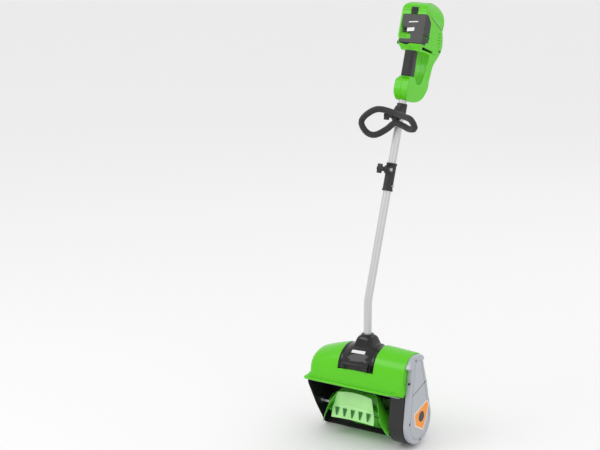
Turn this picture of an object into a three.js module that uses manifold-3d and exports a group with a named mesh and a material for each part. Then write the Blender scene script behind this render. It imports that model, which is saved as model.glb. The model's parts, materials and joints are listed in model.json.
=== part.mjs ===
// Cordless snow shovel: a powered two-blade rotor in a wide head, a bent two-piece shaft with a
// clamped loop handle, and a D-grip housing that holds the battery under a hinged lid.
// Millimetres. +X is the belt-drive side, -Y is the front, +Z is up. The origin is the centre of
// the scraper's flat underside, on the ground.

import * as THREE from "three";
import { mergeVertices } from "three/addons/utils/BufferGeometryUtils.js";
import Module from "manifold-3d";

const wasm = await Module();
wasm.setup();

// ---------------------------------------------------------------- driving dimensions

const GAP = 0.3; // clearance between pieces that touch or fit
const BIG = 600; // longer than any piece a cutter has to pass through

// Rotor and its chamber
const ROTOR_Z = 76; // height of the rotor axis over the ground
const ROTOR_TIP_R = 71;
const ROTOR_HUB_R = 15;
const ROTOR_SHAFT_R = 6;
const ROTOR_RUN = 6; // gap from the rotor's ends to the chamber's side walls
const PADDLE_LENGTH = 118; // straight middle of each blade
const BLADE_THICKNESS = 4.6;
const BLADE_TWIST = 78; // degrees from the straight middle to each end
const CHAMBER_CLEARANCE = 2.5; // rotor tips to the chute wall
const CHUTE_WALL = 2.5;

// Head
const HEAD_LEFT = 150; // centre plane to the outer face of the left end
const DRIVE_WALL_X = 107; // inner face of the drive case
const DRIVE_CASE_DEPTH = 43; // along X
const COVER_DEPTH = 16;
const SHELL_WALL = 3;
const DOME_Z = 273; // top of the shell at the centre plane
const LIP_Z = 160; // underside of the front lip
const LIP_REACH = 82; // front edge of the lip ahead of the rotor axis
const LIP_OVERHANG = 11; // lip beyond the left end
const LIP_THICKNESS = 6.5;
const SIDE_PLATE = 3;
const SADDLE_WIDTH = 112;
const SADDLE_SINK = 3.5; // saddle skin below the green shell
const SADDLE_PANEL_WIDTH = 82;
const SCRAPER_BACK = 38; // scraper centre behind the rotor axis
const SCRAPER_WIDTH = 28; // along Y
const SCRAPER_HEIGHT = 8;

// Motor and belt drive
const MOTOR_R = 31;
const MOTOR_LENGTH = 72;
const MOTOR_SHAFT_R = 4;
const MOTOR_Z = 212;
const MOTOR_Y = 2; // behind the rotor axis
const DRIVE_PULLEY_R = 11;
const DRIVEN_PULLEY_R = 36;
const PULLEY_WIDTH = 16;
const PULLEY_X = 124; // near face of both pulleys
const BELT_THICKNESS = 3;
const BEARING_R = 13;
const BEARING_WIDTH = 8;

// Shaft
const TUBE_R = 11;
const TUBE_WALL = 1.5;
const TUBE_Y = -3; // tube axis from the rotor axis
const SOCKET_BASE = 56;
const SOCKET_TOP_R = 18;
const SOCKET_Z = 250; // foot of the socket's pyramid
const SOCKET_HEIGHT = 40;
const SOCKET_SCREW = [0, SOCKET_Z + 32]; // (x, z) of the screw behind the neck
const BEND_Z = 390;
const BEND_RADIUS = 90;
const LEAN = 18.5; // degrees back from vertical above the bend
const COUPLER_T = 345; // along the shaft from the bend
const COUPLER_LENGTH = 77;
const COUPLER_WALL = 2.4;
const HANDLE_T = 565; // handle entry, along the shaft from the bend
const TUBE_IN_HANDLE = 46;

// Loop handle
const LOOP_BAR_R = 8.8;
const LOOP_DROP = 60; // pivot level below the handle entry
const CLAMP_HEIGHT = 28;
const CLAMP_WALL = 3;
const PIVOT_FORWARD = 21; // pivot bolt ahead of the tube axis

// Handle housing and battery
const HOUSING_HALF = 39;
const GRIP_R = 15;
const GRIP_CORE = 10.5;
const GRIP_LOW = 58;
const GRIP_HIGH = 132;
const SKIN = 1.6; // depth of the set-in panel
const BATTERY_WIDTH = 64;
const BATTERY_DEPTH = 60;
const BATTERY_HEIGHT = 66;
const BATTERY_BACK = 30; // battery centre behind the shaft axis
const BAY_FLOOR = 138;
const LID_WALL = 3;
const HINGE_BACK = 90;
const HINGE_UP = 207;
const HINGE_R = 4.5;

// Values that follow from them
const CHAMBER_R = ROTOR_TIP_R + CHAMBER_CLEARANCE;
const CHUTE_R = CHAMBER_R + CHUTE_WALL;
const COVER_X = DRIVE_WALL_X + DRIVE_CASE_DEPTH; // outer end of the drive case
const CHAMBER_LEFT = -(HEAD_LEFT - SIDE_PLATE);
const MOTOR_REACH = Math.hypot(MOTOR_Y, MOTOR_Z - ROTOR_Z);
const SIDE_PLATE_TOP = LIP_Z - GAP;
const SHELL_REAR_Z = 104; // foot of the shell's rear skirt
const REAR_STEP = 50; // front of the rear skirt's end walls
const rad = THREE.MathUtils.degToRad;

// ---------------------------------------------------------------- materials

const paint = (color, roughness, metalness = 0) =>
  new THREE.MeshStandardMaterial({ color, roughness, metalness });

const MATERIALS = {
  green: paint(0x63d100, 0.35),
  rotorGreen: paint(0x58e02a, 0.3),
  black: paint(0x141416, 0.4),
  gloss: paint(0x0b0b0d, 0.15),
  rubber: paint(0x18181a, 0.85),
  silver: paint(0xb4b8c0, 0.4, 0.3),
  tube: paint(0xbfc0c2, 0.35, 0.6),
  steel: paint(0x9a9ca0, 0.3, 0.9),
  copper: paint(0xc58b4a, 0.35, 0.9),
  board: paint(0x1f5c33, 0.6),
};

// ---------------------------------------------------------------- solids

function solidOf(geometry) {
  const bare = geometry.clone();
  bare.deleteAttribute("normal");
  bare.deleteAttribute("uv");
  const merged = mergeVertices(bare, 1e-4);
  const mesh = new wasm.Mesh({
    numProp: 3,
    vertProperties: new Float32Array(merged.attributes.position.array),
    triVerts: new Uint32Array(merged.index.array),
  });
  return new wasm.Manifold(mesh);
}

function geometryOf(solid) {
  const mesh = solid.getMesh();
  const geometry = new THREE.BufferGeometry();
  geometry.setAttribute("position", new THREE.BufferAttribute(mesh.vertProperties, 3));
  geometry.setIndex(new THREE.BufferAttribute(mesh.triVerts, 1));
  geometry.computeVertexNormals();
  return geometry;
}

// The largest body of a cut, without slivers.
const largest = (solid) => solid.decompose().sort((a, b) => b.volume() - a.volume())[0];
const union = (...solids) => solids.reduce((whole, next) => whole.add(next));
const without = (body, ...cutters) => cutters.reduce((whole, next) => whole.subtract(next), body);

// A piece: a solid as a named mesh.
function piece(name, solid, material) {
  const mesh = new THREE.Mesh(geometryOf(solid), material);
  mesh.name = name;
  return mesh;
}

// Box between two corners.
function block(x0, x1, y0, y1, z0, z1) {
  const box = new THREE.BoxGeometry(x1 - x0, y1 - y0, z1 - z0);
  return solidOf(box.translate((x0 + x1) / 2, (y0 + y1) / 2, (z0 + z1) / 2));
}

// Round bar along X, Y or Z from one end to the other; the centre is given in the other two axes.
function bar(axis, radius, from, to, centre, sides = 20, endRadius = radius) {
  const rod = new THREE.CylinderGeometry(endRadius, radius, to - from, sides);
  rod.translate(0, (from + to) / 2, 0);
  if (axis === "x") rod.rotateZ(-Math.PI / 2).translate(0, centre[0], centre[1]);
  if (axis === "y") rod.translate(centre[0], 0, centre[1]);
  if (axis === "z") rod.rotateX(Math.PI / 2).translate(centre[0], centre[1], 0);
  return solidOf(rod);
}

// Turned piece about X. The profile is (x, radius) pairs and closes on the axis.
function turnedX(profile, centre, sides = 28) {
  const points = profile.map(([x, radius]) => new THREE.Vector2(radius, x));
  const lathe = new THREE.LatheGeometry(points, sides);
  return solidOf(lathe.rotateZ(-Math.PI / 2).translate(0, centre[0], centre[1]));
}

// Corner points [a, b] or [a, b, radius] as a smooth outline.
function outline(turns, steps = 4) {
  const points = [];
  turns.forEach(([a, b, radius = 0], i) => {
    const here = new THREE.Vector2(a, b);
    if (radius === 0) {
      points.push(here);
      return;
    }
    const before = new THREE.Vector2(...turns.at(i - 1).slice(0, 2)).sub(here);
    const after = new THREE.Vector2(...turns[(i + 1) % turns.length].slice(0, 2)).sub(here);
    const reach = Math.min(radius, before.length() * 0.49, after.length() * 0.49);
    const start = here.clone().addScaledVector(before.normalize(), reach);
    const end = here.clone().addScaledVector(after.normalize(), reach);
    points.push(...new THREE.QuadraticBezierCurve(start, here, end).getPoints(steps));
  });
  return points;
}

// The outline moved out (or in, when negative) along its corners' bisectors. Points that a tight
// corner would carry past their neighbours are left out.
function grown(points, distance) {
  const turn = THREE.ShapeUtils.isClockWise(points) ? -1 : 1;
  const moved = points.map((here, i) => {
    const before = here.clone().sub(points.at(i - 1)).normalize();
    const after = points[(i + 1) % points.length].clone().sub(here).normalize();
    const bisector = new THREE.Vector2(before.y + after.y, -before.x - after.x).normalize();
    const spread = Math.max(0.5, bisector.dot(new THREE.Vector2(before.y, -before.x)));
    return here.clone().addScaledVector(bisector, (turn * distance) / spread);
  });
  return moved.filter((here) => distanceTo(points, here) > Math.abs(distance) * 0.97 - 0.001);
}

// Shortest way from a place to a closed outline.
function distanceTo(points, place) {
  return Math.min(
    ...points.map((start, i) => {
      const along = points[(i + 1) % points.length].clone().sub(start);
      const reach = THREE.MathUtils.clamp(place.clone().sub(start).dot(along) / along.lengthSq(), 0, 1);
      return place.distanceTo(start.clone().addScaledVector(along, reach));
    }),
  );
}

// The outline without repeated points and points in the middle of a straight stretch.
function corners(points) {
  const apart = points.filter((here, i) => here.distanceTo(points.at(i - 1)) > 0.01);
  return apart.filter((here, i) => {
    const before = here.clone().sub(apart.at(i - 1)).normalize();
    const after = apart[(i + 1) % apart.length].clone().sub(here).normalize();
    return Math.abs(before.cross(after)) > 1e-4;
  });
}

const PLANES = {
  x: [new THREE.Vector3(0, 1, 0), new THREE.Vector3(0, 0, 1), new THREE.Vector3(1, 0, 0)],
  y: [new THREE.Vector3(1, 0, 0), new THREE.Vector3(0, 0, 1), new THREE.Vector3(0, -1, 0)],
  z: [new THREE.Vector3(1, 0, 0), new THREE.Vector3(0, 1, 0), new THREE.Vector3(0, 0, 1)],
};

// The outline, in the plane across an axis, as a plate between two places on that axis.
function plate(axis, points, from, to, bevel = 0) {
  const geometry = new THREE.ExtrudeGeometry(new THREE.Shape(corners(points)), {
    depth: to - from - 2 * bevel,
    bevelEnabled: bevel > 0,
    bevelThickness: bevel,
    bevelSize: bevel,
    bevelOffset: -bevel,
    bevelSegments: 2,
    steps: 1,
  });
  geometry.translate(0, 0, (axis === "y" ? -to : from) + bevel);
  geometry.applyMatrix4(new THREE.Matrix4().makeBasis(...PLANES[axis]));
  return solidOf(geometry);
}

// Closed rings of equal length, joined one after the other and capped at both ends: from the ring's
// middle, or across a strip whose second half runs back along its first.
function loft(rings, strip = false) {
  const count = rings[0].length;
  const positions = rings.flat().flatMap((point) => point.toArray());
  const index = [];
  for (let r = 0; r + 1 < rings.length; r++) {
    for (let i = 0; i < count; i++) {
      const a = r * count + i;
      const b = r * count + ((i + 1) % count);
      index.push(a, b, b + count, a, b + count, a + count);
    }
  }
  const cap = (ring, offset, flip) => {
    const add = (a, b, c) => index.push(a, flip ? c : b, flip ? b : c);
    if (strip) {
      for (let i = 0; i + 1 < count / 2; i++) {
        const opposite = offset + count - 1 - i;
        add(offset + i, offset + i + 1, opposite - 1);
        add(offset + i, opposite - 1, opposite);
      }
      return;
    }
    const middle = ring.reduce((sum, point) => sum.add(point), new THREE.Vector3()).divideScalar(count);
    const centre = positions.length / 3;
    positions.push(...middle.toArray());
    for (let i = 0; i < count; i++) add(centre, offset + i, offset + ((i + 1) % count));
  };
  cap(rings[0], 0, true);
  cap(rings.at(-1), (rings.length - 1) * count, false);
  return closed(positions, index);
}

// A closed surface as a solid, turned to face out.
function closed(positions, index) {
  const corner = (i) => new THREE.Vector3().fromArray(positions, 3 * index[i]);
  let volume = 0;
  for (let i = 0; i < index.length; i += 3) {
    volume += corner(i).dot(corner(i + 1).cross(corner(i + 2)));
  }
  const geometry = new THREE.BufferGeometry();
  geometry.setAttribute("position", new THREE.Float32BufferAttribute(positions, 3));
  geometry.setIndex(volume < 0 ? index.toReversed() : index);
  return solidOf(geometry);
}

// ---------------------------------------------------------------- head: outlines

// The drive side seen along X: flat front, rounded crown, back sloping in to the rotor end's arc.
function driveOutline(grow = 0) {
  const bottom = 66;
  const arc = new THREE.EllipseCurve(0, ROTOR_Z, bottom, bottom, Math.PI, 2.1 * Math.PI);
  const crown = outline([
    [27, 247, 14],
    [13, 264, 10],
    [-30, 268, 22],
    [-66, 232, 22],
  ]);
  return grown(corners([...arc.getPoints(18), ...crown]), grow);
}

// The crown of the green dome, from its foot at the front, over the top, to its foot at the back.
const DOME_CURVE = new THREE.SplineCurve([
  new THREE.Vector2(-70, LIP_Z),
  new THREE.Vector2(-70, 200),
  new THREE.Vector2(-65, 230),
  new THREE.Vector2(-51, 254),
  new THREE.Vector2(-27, DOME_Z - 4),
  new THREE.Vector2(0, DOME_Z),
  new THREE.Vector2(20, DOME_Z - 6),
  new THREE.Vector2(38, 246),
  new THREE.Vector2(60, 185),
  new THREE.Vector2(76, 130),
  new THREE.Vector2(79, SHELL_REAR_Z),
]);
const DOME_STEPS = 18;
const SHOULDER = 16; // rounding of the dome's left end

// Dome points at one place across the head, moved in by a wall thickness.
function domeArc(x, inset = 0, first = 0, last = 1) {
  const fall = x < 0 ? 0.24 * (-x / 118) ** 1.5 : 0.03 * (x / 118) ** 2;
  const past = THREE.MathUtils.clamp((-x - (HEAD_LEFT - SHOULDER)) / SHOULDER, 0, 1);
  const round = SHOULDER * (1 - Math.sqrt(1 - past * past));
  const points = [];
  for (let i = 0; i <= DOME_STEPS; i++) {
    const along = first + ((last - first) * i) / DOME_STEPS;
    const here = DOME_CURVE.getPoint(along);
    const tangent = DOME_CURVE.getTangent(along);
    const y = here.x + tangent.y * (inset + round);
    const z = here.y - tangent.x * (inset + round);
    points.push(new THREE.Vector3(x, y, z > LIP_Z ? LIP_Z + (z - LIP_Z) * (1 - fall) : z));
  }
  return points;
}

// A strip that follows the dome: its outer face at one depth below the dome, with a thickness.
function domeStrip(places, depth, thickness, first, last) {
  return loft(
    places.map((x) => {
      const outer = domeArc(x, depth(x), first, last);
      const inner = domeArc(x, depth(x) + thickness, first, last);
      return [...outer, ...inner.reverse()];
    }),
    true,
  );
}

// ---------------------------------------------------------------- head: fixed pieces

function headShell() {
  const shoulder = [0, 0.5, 2, 5, 10, 16].map((step) => step - HEAD_LEFT);
  const places = [...shoulder, -105, -70, -35, 0, 40, 80, 120, COVER_X - GAP];
  const outer = loft(places.map((x) => domeArc(x)));
  const hollowPlaces = [CHAMBER_LEFT, -140, -130, ...places.filter((x) => x > -120 && x < 100)];
  const hollow = loft([...hollowPlaces, DRIVE_WALL_X].map((x) => domeArc(x, SHELL_WALL)));
  const brim = plate(
    "z",
    outline([
      [-(HEAD_LEFT + LIP_OVERHANG), -LIP_REACH, 10],
      [COVER_X - 38, -LIP_REACH, 30],
      [COVER_X - GAP, -66, 2],
      [COVER_X - GAP, -40],
      [-HEAD_LEFT + 10, -40],
      [-HEAD_LEFT + 10, 20],
      [-(HEAD_LEFT + LIP_OVERHANG), 8, 24],
    ]),
    LIP_Z,
    LIP_Z + LIP_THICKNESS,
    2,
  );
  const flare = loft(
    [-HEAD_LEFT, -130, -60, 20, COVER_X - 40, COVER_X - 14, COVER_X - GAP].map((x) => {
      const back = Math.max(0, x - (COVER_X - 38)) * 0.34;
      const top = x < -140 ? 10 : 22;
      const rise = [-66, -LIP_REACH + back + 7, -LIP_REACH + back + 10, -70.5, -66];
      const high = [LIP_Z + 2, LIP_Z + 2, LIP_Z + LIP_THICKNESS + 2, LIP_Z + top, LIP_Z + top + 6];
      return rise.map((y, i) => new THREE.Vector3(x, y, high[i]));
    }),
  );
  const half = SADDLE_WIDTH / 2 + GAP;
  const saddleOpening = domeStrip([-half, -28, 0, 28, half], () => -8, 16, 0.13, 0.8);
  return without(
    union(outer, brim, flare),
    hollow,
    block(-HEAD_LEFT - 40, COVER_X + 40, -BIG, REAR_STEP, 0, LIP_Z),
    block(-HEAD_LEFT - 40, COVER_X + 40, -100, 100, 0, SHELL_REAR_Z),
    plate("x", grown(driveOutline(-3), 0.6), DRIVE_WALL_X - GAP, COVER_X + 1),
    plate("x", driveOutline(3 + GAP), DRIVE_WALL_X - GAP, COVER_X + 1).intersect(
      block(DRIVE_WALL_X - 1, COVER_X + 2, -120, 120, 0, LIP_Z),
    ),
    saddleOpening,
    bar("x", CHUTE_R + GAP, CHAMBER_LEFT - GAP, DRIVE_WALL_X, [0, ROTOR_Z], 48),
  );
}

function saddleCover() {
  const half = SADDLE_WIDTH / 2;
  const panel = SADDLE_PANEL_WIDTH / 2;
  const places = [-half, -half + 5, -panel - 1, -panel + 1, -20, 20, panel - 1, panel + 1, half - 5, half];
  const depth = (x) => {
    const out = Math.abs(x);
    if (out > half - 2) return 1;
    if (out > panel) return SADDLE_SINK;
    return out > 21 ? 0 : -2;
  };
  const skin = domeStrip(places, depth, 3, 0.137, 0.793);
  const nose = plate("x", outline([[-58, 240], [-76, 228, 5], [-77, 213, 3], [-67, 212]]), -panel, panel);
  const underNose = plate("x", outline([[-90, 223], [-66.5, 223], [-66.5, 190], [-90, 190]]), -panel + 12, panel - 12);
  const spigotHole = bar("z", 16 + GAP, 200, 300, [0, TUBE_Y], 24);
  return without(union(skin, nose.subtract(underNose)), spigotHole, socketBody(GAP));
}

// Outer form of the shaft socket: a square foot drawn up to a round neck over a round spigot.
function socketBody(grow = 0) {
  const half = SOCKET_BASE / 2 + grow;
  const sides = 32;
  const ring = (z, squareness, radius) => {
    const points = [];
    for (let i = 0; i < sides; i++) {
      const angle = ((i + 0.5) / sides) * 2 * Math.PI;
      const c = Math.cos(angle);
      const s = Math.sin(angle);
      const square = Math.min(half / Math.max(Math.abs(c), Math.abs(s)), half * 1.2);
      const reach = THREE.MathUtils.lerp(radius, square, squareness);
      points.push(new THREE.Vector3(reach * c, TUBE_Y + reach * s, z));
    }
    return points;
  };
  const top = SOCKET_TOP_R + grow;
  const pyramid = loft([
    ring(SOCKET_Z - grow, 1, top),
    ring(SOCKET_Z + 8, 0.97, top),
    ring(SOCKET_Z + SOCKET_HEIGHT - 4, 0.12, top + 1),
    ring(SOCKET_Z + SOCKET_HEIGHT + grow, 0, top - 1),
  ]);
  return pyramid.add(bar("z", 16, SOCKET_Z - 26, SOCKET_Z + 1, [0, TUBE_Y], 24));
}

function tubeSocket() {
  const collar = bar("z", TUBE_R + 4, SOCKET_Z + SOCKET_HEIGHT - 1, SOCKET_Z + SOCKET_HEIGHT + 4, [0, TUBE_Y], 24);
  return without(
    union(socketBody(), collar),
    bar("z", TUBE_R + GAP, SOCKET_Z - 24, SOCKET_Z + 80, [0, TUBE_Y], 20),
    bar("z", TUBE_R - 3, SOCKET_Z - 30, SOCKET_Z, [0, TUBE_Y], 20),
    bar("y", 3 + GAP, TUBE_Y, 60, SOCKET_SCREW, 12),
    bar("y", 5 + GAP, TUBE_Y + SOCKET_TOP_R - GAP, 60, SOCKET_SCREW, 12),
  );
}

// The chamber's curved back with the roof that runs forward under the lip and the foot on the scraper.
function chuteWall() {
  const end = rad(-58);
  const inner = new THREE.EllipseCurve(0, ROTOR_Z, CHAMBER_R, CHAMBER_R, Math.PI / 2, end, true);
  const outer = new THREE.EllipseCurve(0, ROTOR_Z, CHUTE_R, CHUTE_R, end, rad(60), false);
  const front = -LIP_REACH + 8;
  const section = [
    new THREE.Vector2(front, SIDE_PLATE_TOP - 3.5),
    ...inner.getPoints(20),
    ...outer.getPoints(14),
    new THREE.Vector2(28, SIDE_PLATE_TOP),
    new THREE.Vector2(front, SIDE_PLATE_TOP),
  ];
  const left = CHAMBER_LEFT + GAP;
  const right = DRIVE_WALL_X - GAP;
  const foot = plate(
    "x",
    outline([
      [SCRAPER_BACK + 1, SCRAPER_HEIGHT + GAP],
      [SCRAPER_BACK + SCRAPER_WIDTH / 2 + 6, SCRAPER_HEIGHT + GAP],
      [CHUTE_R - 13, ROTOR_Z - 40],
      [CHUTE_R - 16, ROTOR_Z - 40],
    ]),
    left,
    right,
  );
  const bore = bar("x", CHAMBER_R, left - 5, right + 5, [0, ROTOR_Z], 80);
  return plate("x", section, left, right).add(foot).subtract(bore.intersect(block(-BIG, BIG, 0, BIG, 0, ROTOR_Z)));
}

function scraperBar() {
  const back = SCRAPER_BACK + SCRAPER_WIDTH / 2;
  const front = SCRAPER_BACK - SCRAPER_WIDTH / 2;
  const section = [
    new THREE.Vector2(front, 0),
    new THREE.Vector2(back, 0),
    new THREE.Vector2(back, SCRAPER_HEIGHT),
    new THREE.Vector2(SCRAPER_BACK + 1, SCRAPER_HEIGHT),
    new THREE.Vector2(front, 2.4),
  ];
  return plate("x", section, CHAMBER_LEFT + GAP, DRIVE_WALL_X - GAP);
}

function sidePlate() {
  const sheet = plate(
    "x",
    outline([
      [-LIP_REACH + 9, SIDE_PLATE_TOP],
      [-LIP_REACH + 9, LIP_Z - 12, 4],
      [-30, ROTOR_Z - 4, 8],
      [18, 1, 6],
      [56, 1, 10],
      [74, 40, 20],
      [79, SHELL_REAR_Z - GAP],
      [REAR_STEP - GAP, SHELL_REAR_Z - GAP],
      [REAR_STEP - GAP, SIDE_PLATE_TOP],
    ]),
    -HEAD_LEFT,
    CHAMBER_LEFT,
  );
  const boss = bar("x", BEARING_R + 4, -HEAD_LEFT - 6, CHAMBER_LEFT, [0, ROTOR_Z], 28);
  const seat = bar("x", BEARING_R + GAP, -HEAD_LEFT - 3, CHAMBER_LEFT + 1, [0, ROTOR_Z], 28);
  return without(union(sheet, boss), seat);
}

function driveCase() {
  const end = COVER_X - GAP;
  const below = plate("x", driveOutline(3), DRIVE_WALL_X, end).intersect(
    block(DRIVE_WALL_X - 1, end + 1, -120, 120, 0, SIDE_PLATE_TOP),
  );
  const above = plate("x", driveOutline(-3), DRIVE_WALL_X, end);
  const boss = bar("x", BEARING_R + 4, DRIVE_WALL_X, DRIVE_WALL_X + BEARING_WIDTH + 3, [0, ROTOR_Z], 28);
  const hollow = plate("x", driveOutline(-7), DRIVE_WALL_X + 4, COVER_X + 5);
  return without(
    union(union(below, above).subtract(hollow), boss),
    bar("x", BEARING_R + GAP, DRIVE_WALL_X + 2, COVER_X, [0, ROTOR_Z], 28),
    bar("x", ROTOR_SHAFT_R + 2, DRIVE_WALL_X - 5, COVER_X, [0, ROTOR_Z], 20),
    bar("x", MOTOR_SHAFT_R + 3, DRIVE_WALL_X - 5, COVER_X, [MOTOR_Y, MOTOR_Z], 20),
  );
}

// Places of the belt cover's screws, (y, z) on its outer face.
const COVER_SCREWS = [
  [-26, 256],
  [-57, 198],
  [-56, 82],
  [6, 19],
  [45, 122],
];
const COVER_SCREW_R = 3.2;
const COVER_SCREW_SINK = 1.2;

function beltCover() {
  const start = COVER_X + GAP;
  const end = COVER_X + COVER_DEPTH;
  const shell = plate("x", driveOutline(0), start, end, 4).add(plate("x", driveOutline(0), start, start + 5));
  const hollow = plate("x", driveOutline(-4), start - 1, end - 4);
  const groove = plate("x", driveOutline(-13), end - 1, end + 1).subtract(
    plate("x", driveOutline(-15), end - 2, end + 2),
  );
  const pillars = COVER_SCREWS.map((at) => bar("x", COVER_SCREW_R + 3, start, end - 2, at, 12));
  const holes = COVER_SCREWS.map((at) => bar("x", COVER_SCREW_R + GAP, end - 8, end + 2, at, 12));
  const closed = union(shell.subtract(hollow), ...pillars.map((p) => p.intersect(shell)));
  return without(closed, groove, ...holes);
}

const coverScrew = (at) => {
  const top = COVER_X + COVER_DEPTH - COVER_SCREW_SINK;
  const head = bar("x", COVER_SCREW_R, top - 5, top, at, 12);
  return head.subtract(bar("x", 1.2, top - 2, top + 1, at, 6));
};

// A ball bearing as one ring.
function bearing(start) {
  const ring = bar("x", BEARING_R, start, start + BEARING_WIDTH, [0, ROTOR_Z], 28);
  return ring.subtract(bar("x", ROTOR_SHAFT_R + GAP, start - 1, start + BEARING_WIDTH + 1, [0, ROTOR_Z], 20));
}

function motorCan() {
  const start = DRIVE_WALL_X - 9 - MOTOR_LENGTH;
  const end = DRIVE_WALL_X - 9;
  const can = turnedX(
    [
      [start, 0],
      [start, MOTOR_R - 6],
      [start + 3, MOTOR_R - 1],
      [start + 8, MOTOR_R],
      [end - 14, MOTOR_R],
      [end - 14, MOTOR_R - 2],
      [end, MOTOR_R - 2],
      [end, 0],
    ],
    [MOTOR_Y, MOTOR_Z],
  );
  return can.subtract(bar("x", MOTOR_SHAFT_R + GAP, start - 1, end + 1, [MOTOR_Y, MOTOR_Z], 16));
}

// Mount plate between the motor and the drive case's inner wall.
function motorMount() {
  const start = DRIVE_WALL_X - 9 + GAP;
  const end = DRIVE_WALL_X - GAP;
  const at = [MOTOR_Y, MOTOR_Z];
  const disc = union(
    bar("x", MOTOR_R + 5, start, start + 4, at, 28),
    bar("x", MOTOR_R - 8, start, end, at, 28),
  );
  return disc.subtract(bar("x", MOTOR_SHAFT_R + 2, start - 1, end + 1, at, 16));
}

// ---------------------------------------------------------------- head: belt drive

function pulley(radius, boreRadius, centre, sides) {
  const end = PULLEY_X + PULLEY_WIDTH;
  const flange = radius + BELT_THICKNESS - 0.6;
  const wheel = turnedX(
    [
      [PULLEY_X, 0],
      [PULLEY_X, flange],
      [PULLEY_X + 1.2, flange],
      [PULLEY_X + 1.2, radius],
      [end - 1.2, radius],
      [end - 1.2, flange],
      [end, flange],
      [end, 0],
    ],
    centre,
    sides,
  );
  return wheel.subtract(bar("x", boreRadius + GAP, PULLEY_X - 1, end + 1, centre, 16));
}

// Loop round both pulleys at one height over their faces: two arcs and their common tangents.
function beltLoop(height) {
  const toMotor = Math.atan2(MOTOR_Z - ROTOR_Z, MOTOR_Y);
  const wrap = Math.acos((DRIVEN_PULLEY_R - DRIVE_PULLEY_R) / MOTOR_REACH);
  const arc = (y, z, radius, from, to, steps) =>
    new THREE.EllipseCurve(y, z, radius, radius, from, to).getPoints(steps);
  const full = 2 * Math.PI;
  return [
    ...arc(0, ROTOR_Z, DRIVEN_PULLEY_R + height, toMotor + wrap, toMotor - wrap + full, 28),
    ...arc(MOTOR_Y, MOTOR_Z, DRIVE_PULLEY_R + height, toMotor - wrap, toMotor + wrap, 14),
  ];
}

function driveBelt() {
  const start = PULLEY_X + 1.2 + GAP;
  const end = PULLEY_X + PULLEY_WIDTH - 1.2 - GAP;
  const outer = plate("x", beltLoop(GAP + BELT_THICKNESS), start, end);
  return outer.subtract(plate("x", beltLoop(GAP), start - 1, end + 1));
}

// ---------------------------------------------------------------- head: rotor

const ROTOR_LEFT = CHAMBER_LEFT + ROTOR_RUN;
const ROTOR_RIGHT = DRIVE_WALL_X - ROTOR_RUN;
const ROTOR_MIDDLE = (ROTOR_LEFT + ROTOR_RIGHT) / 2;

// One blade: straight and paddle-like in the middle, drawn round into a helical scoop at each end.
function rotorBlade(startAngle) {
  const half = (ROTOR_RIGHT - ROTOR_LEFT) / 2;
  const stations = 8;
  const offsets = [0];
  for (let i = 0; i <= stations; i++) {
    offsets.push(PADDLE_LENGTH / 2 + ((half - PADDLE_LENGTH / 2) * i) / stations);
  }
  const places = [...offsets.slice(1).reverse().map((d) => -d), ...offsets];
  const spans = 5;
  return loft(
    places.map((place) => {
      const past = Math.max(0, Math.abs(place) - PADDLE_LENGTH / 2) / (half - PADDLE_LENGTH / 2);
      const eased = past * past * (3 - 2 * past) * 0.55 + past * 0.45;
      const twist = startAngle + rad(BLADE_TWIST) * eased;
      const root = ROTOR_HUB_R - 4;
      const side = (face) => {
        const points = [];
        for (let i = 0; i <= spans; i++) {
          const radius = THREE.MathUtils.lerp(root, ROTOR_TIP_R - 0.4, i / spans);
          const curl = 0.42 * (i / spans) ** 2 - 0.1;
          const angle = twist + curl * (1 - 0.35 * past) + (face * BLADE_THICKNESS) / 2 / radius;
          const y = radius * Math.cos(angle);
          const z = radius * Math.sin(angle);
          points.push(new THREE.Vector3(ROTOR_MIDDLE + place, y, ROTOR_Z + z));
        }
        return points;
      };
      return [...side(-1), ...side(1).reverse()];
    }),
    true,
  );
}

// Tapered pockets in the trailing face of the blade's straight middle, wide towards the hub.
function bladePockets(startAngle) {
  const count = 5;
  const pitch = PADDLE_LENGTH / (count + 0.3);
  const middle = ROTOR_TIP_R * 0.68;
  const faceTilt = 23; // slope of the curled face over the pockets
  const turn = THREE.MathUtils.radToDeg(startAngle + 0.07) - 90;
  return Array.from({ length: count }, (_, i) => {
    const x = ROTOR_MIDDLE + (i - (count - 1) / 2) * pitch;
    const wedgeTurns = [[-2.2, 12], [2.2, 12], [7, -12], [-7, -12]];
    const wedge = plate("y", wedgeTurns.map(([dx, z]) => new THREE.Vector2(x + dx, z)), 0, 30);
    return wedge
      .rotate([faceTilt, 0, 0])
      .translate([0, -1.2, middle])
      .rotate([turn, 0, 0])
      .translate([0, 0, ROTOR_Z]);
  });
}

function rotorPaddle() {
  const angles = [rad(198), rad(18)];
  const hub = bar("x", ROTOR_HUB_R, ROTOR_LEFT, ROTOR_RIGHT, [0, ROTOR_Z], 24);
  const blades = angles.map((angle) => without(rotorBlade(angle), ...bladePockets(angle)));
  const discs = [ROTOR_LEFT, ROTOR_RIGHT - 3].map((x) => bar("x", 27, x, x + 3, [0, ROTOR_Z], 28));
  const bore = bar("x", ROTOR_SHAFT_R + GAP, ROTOR_LEFT - 5, ROTOR_RIGHT + 5, [0, ROTOR_Z], 20);
  return union(hub, ...blades, ...discs).subtract(bore);
}

// ---------------------------------------------------------------- shaft

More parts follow.
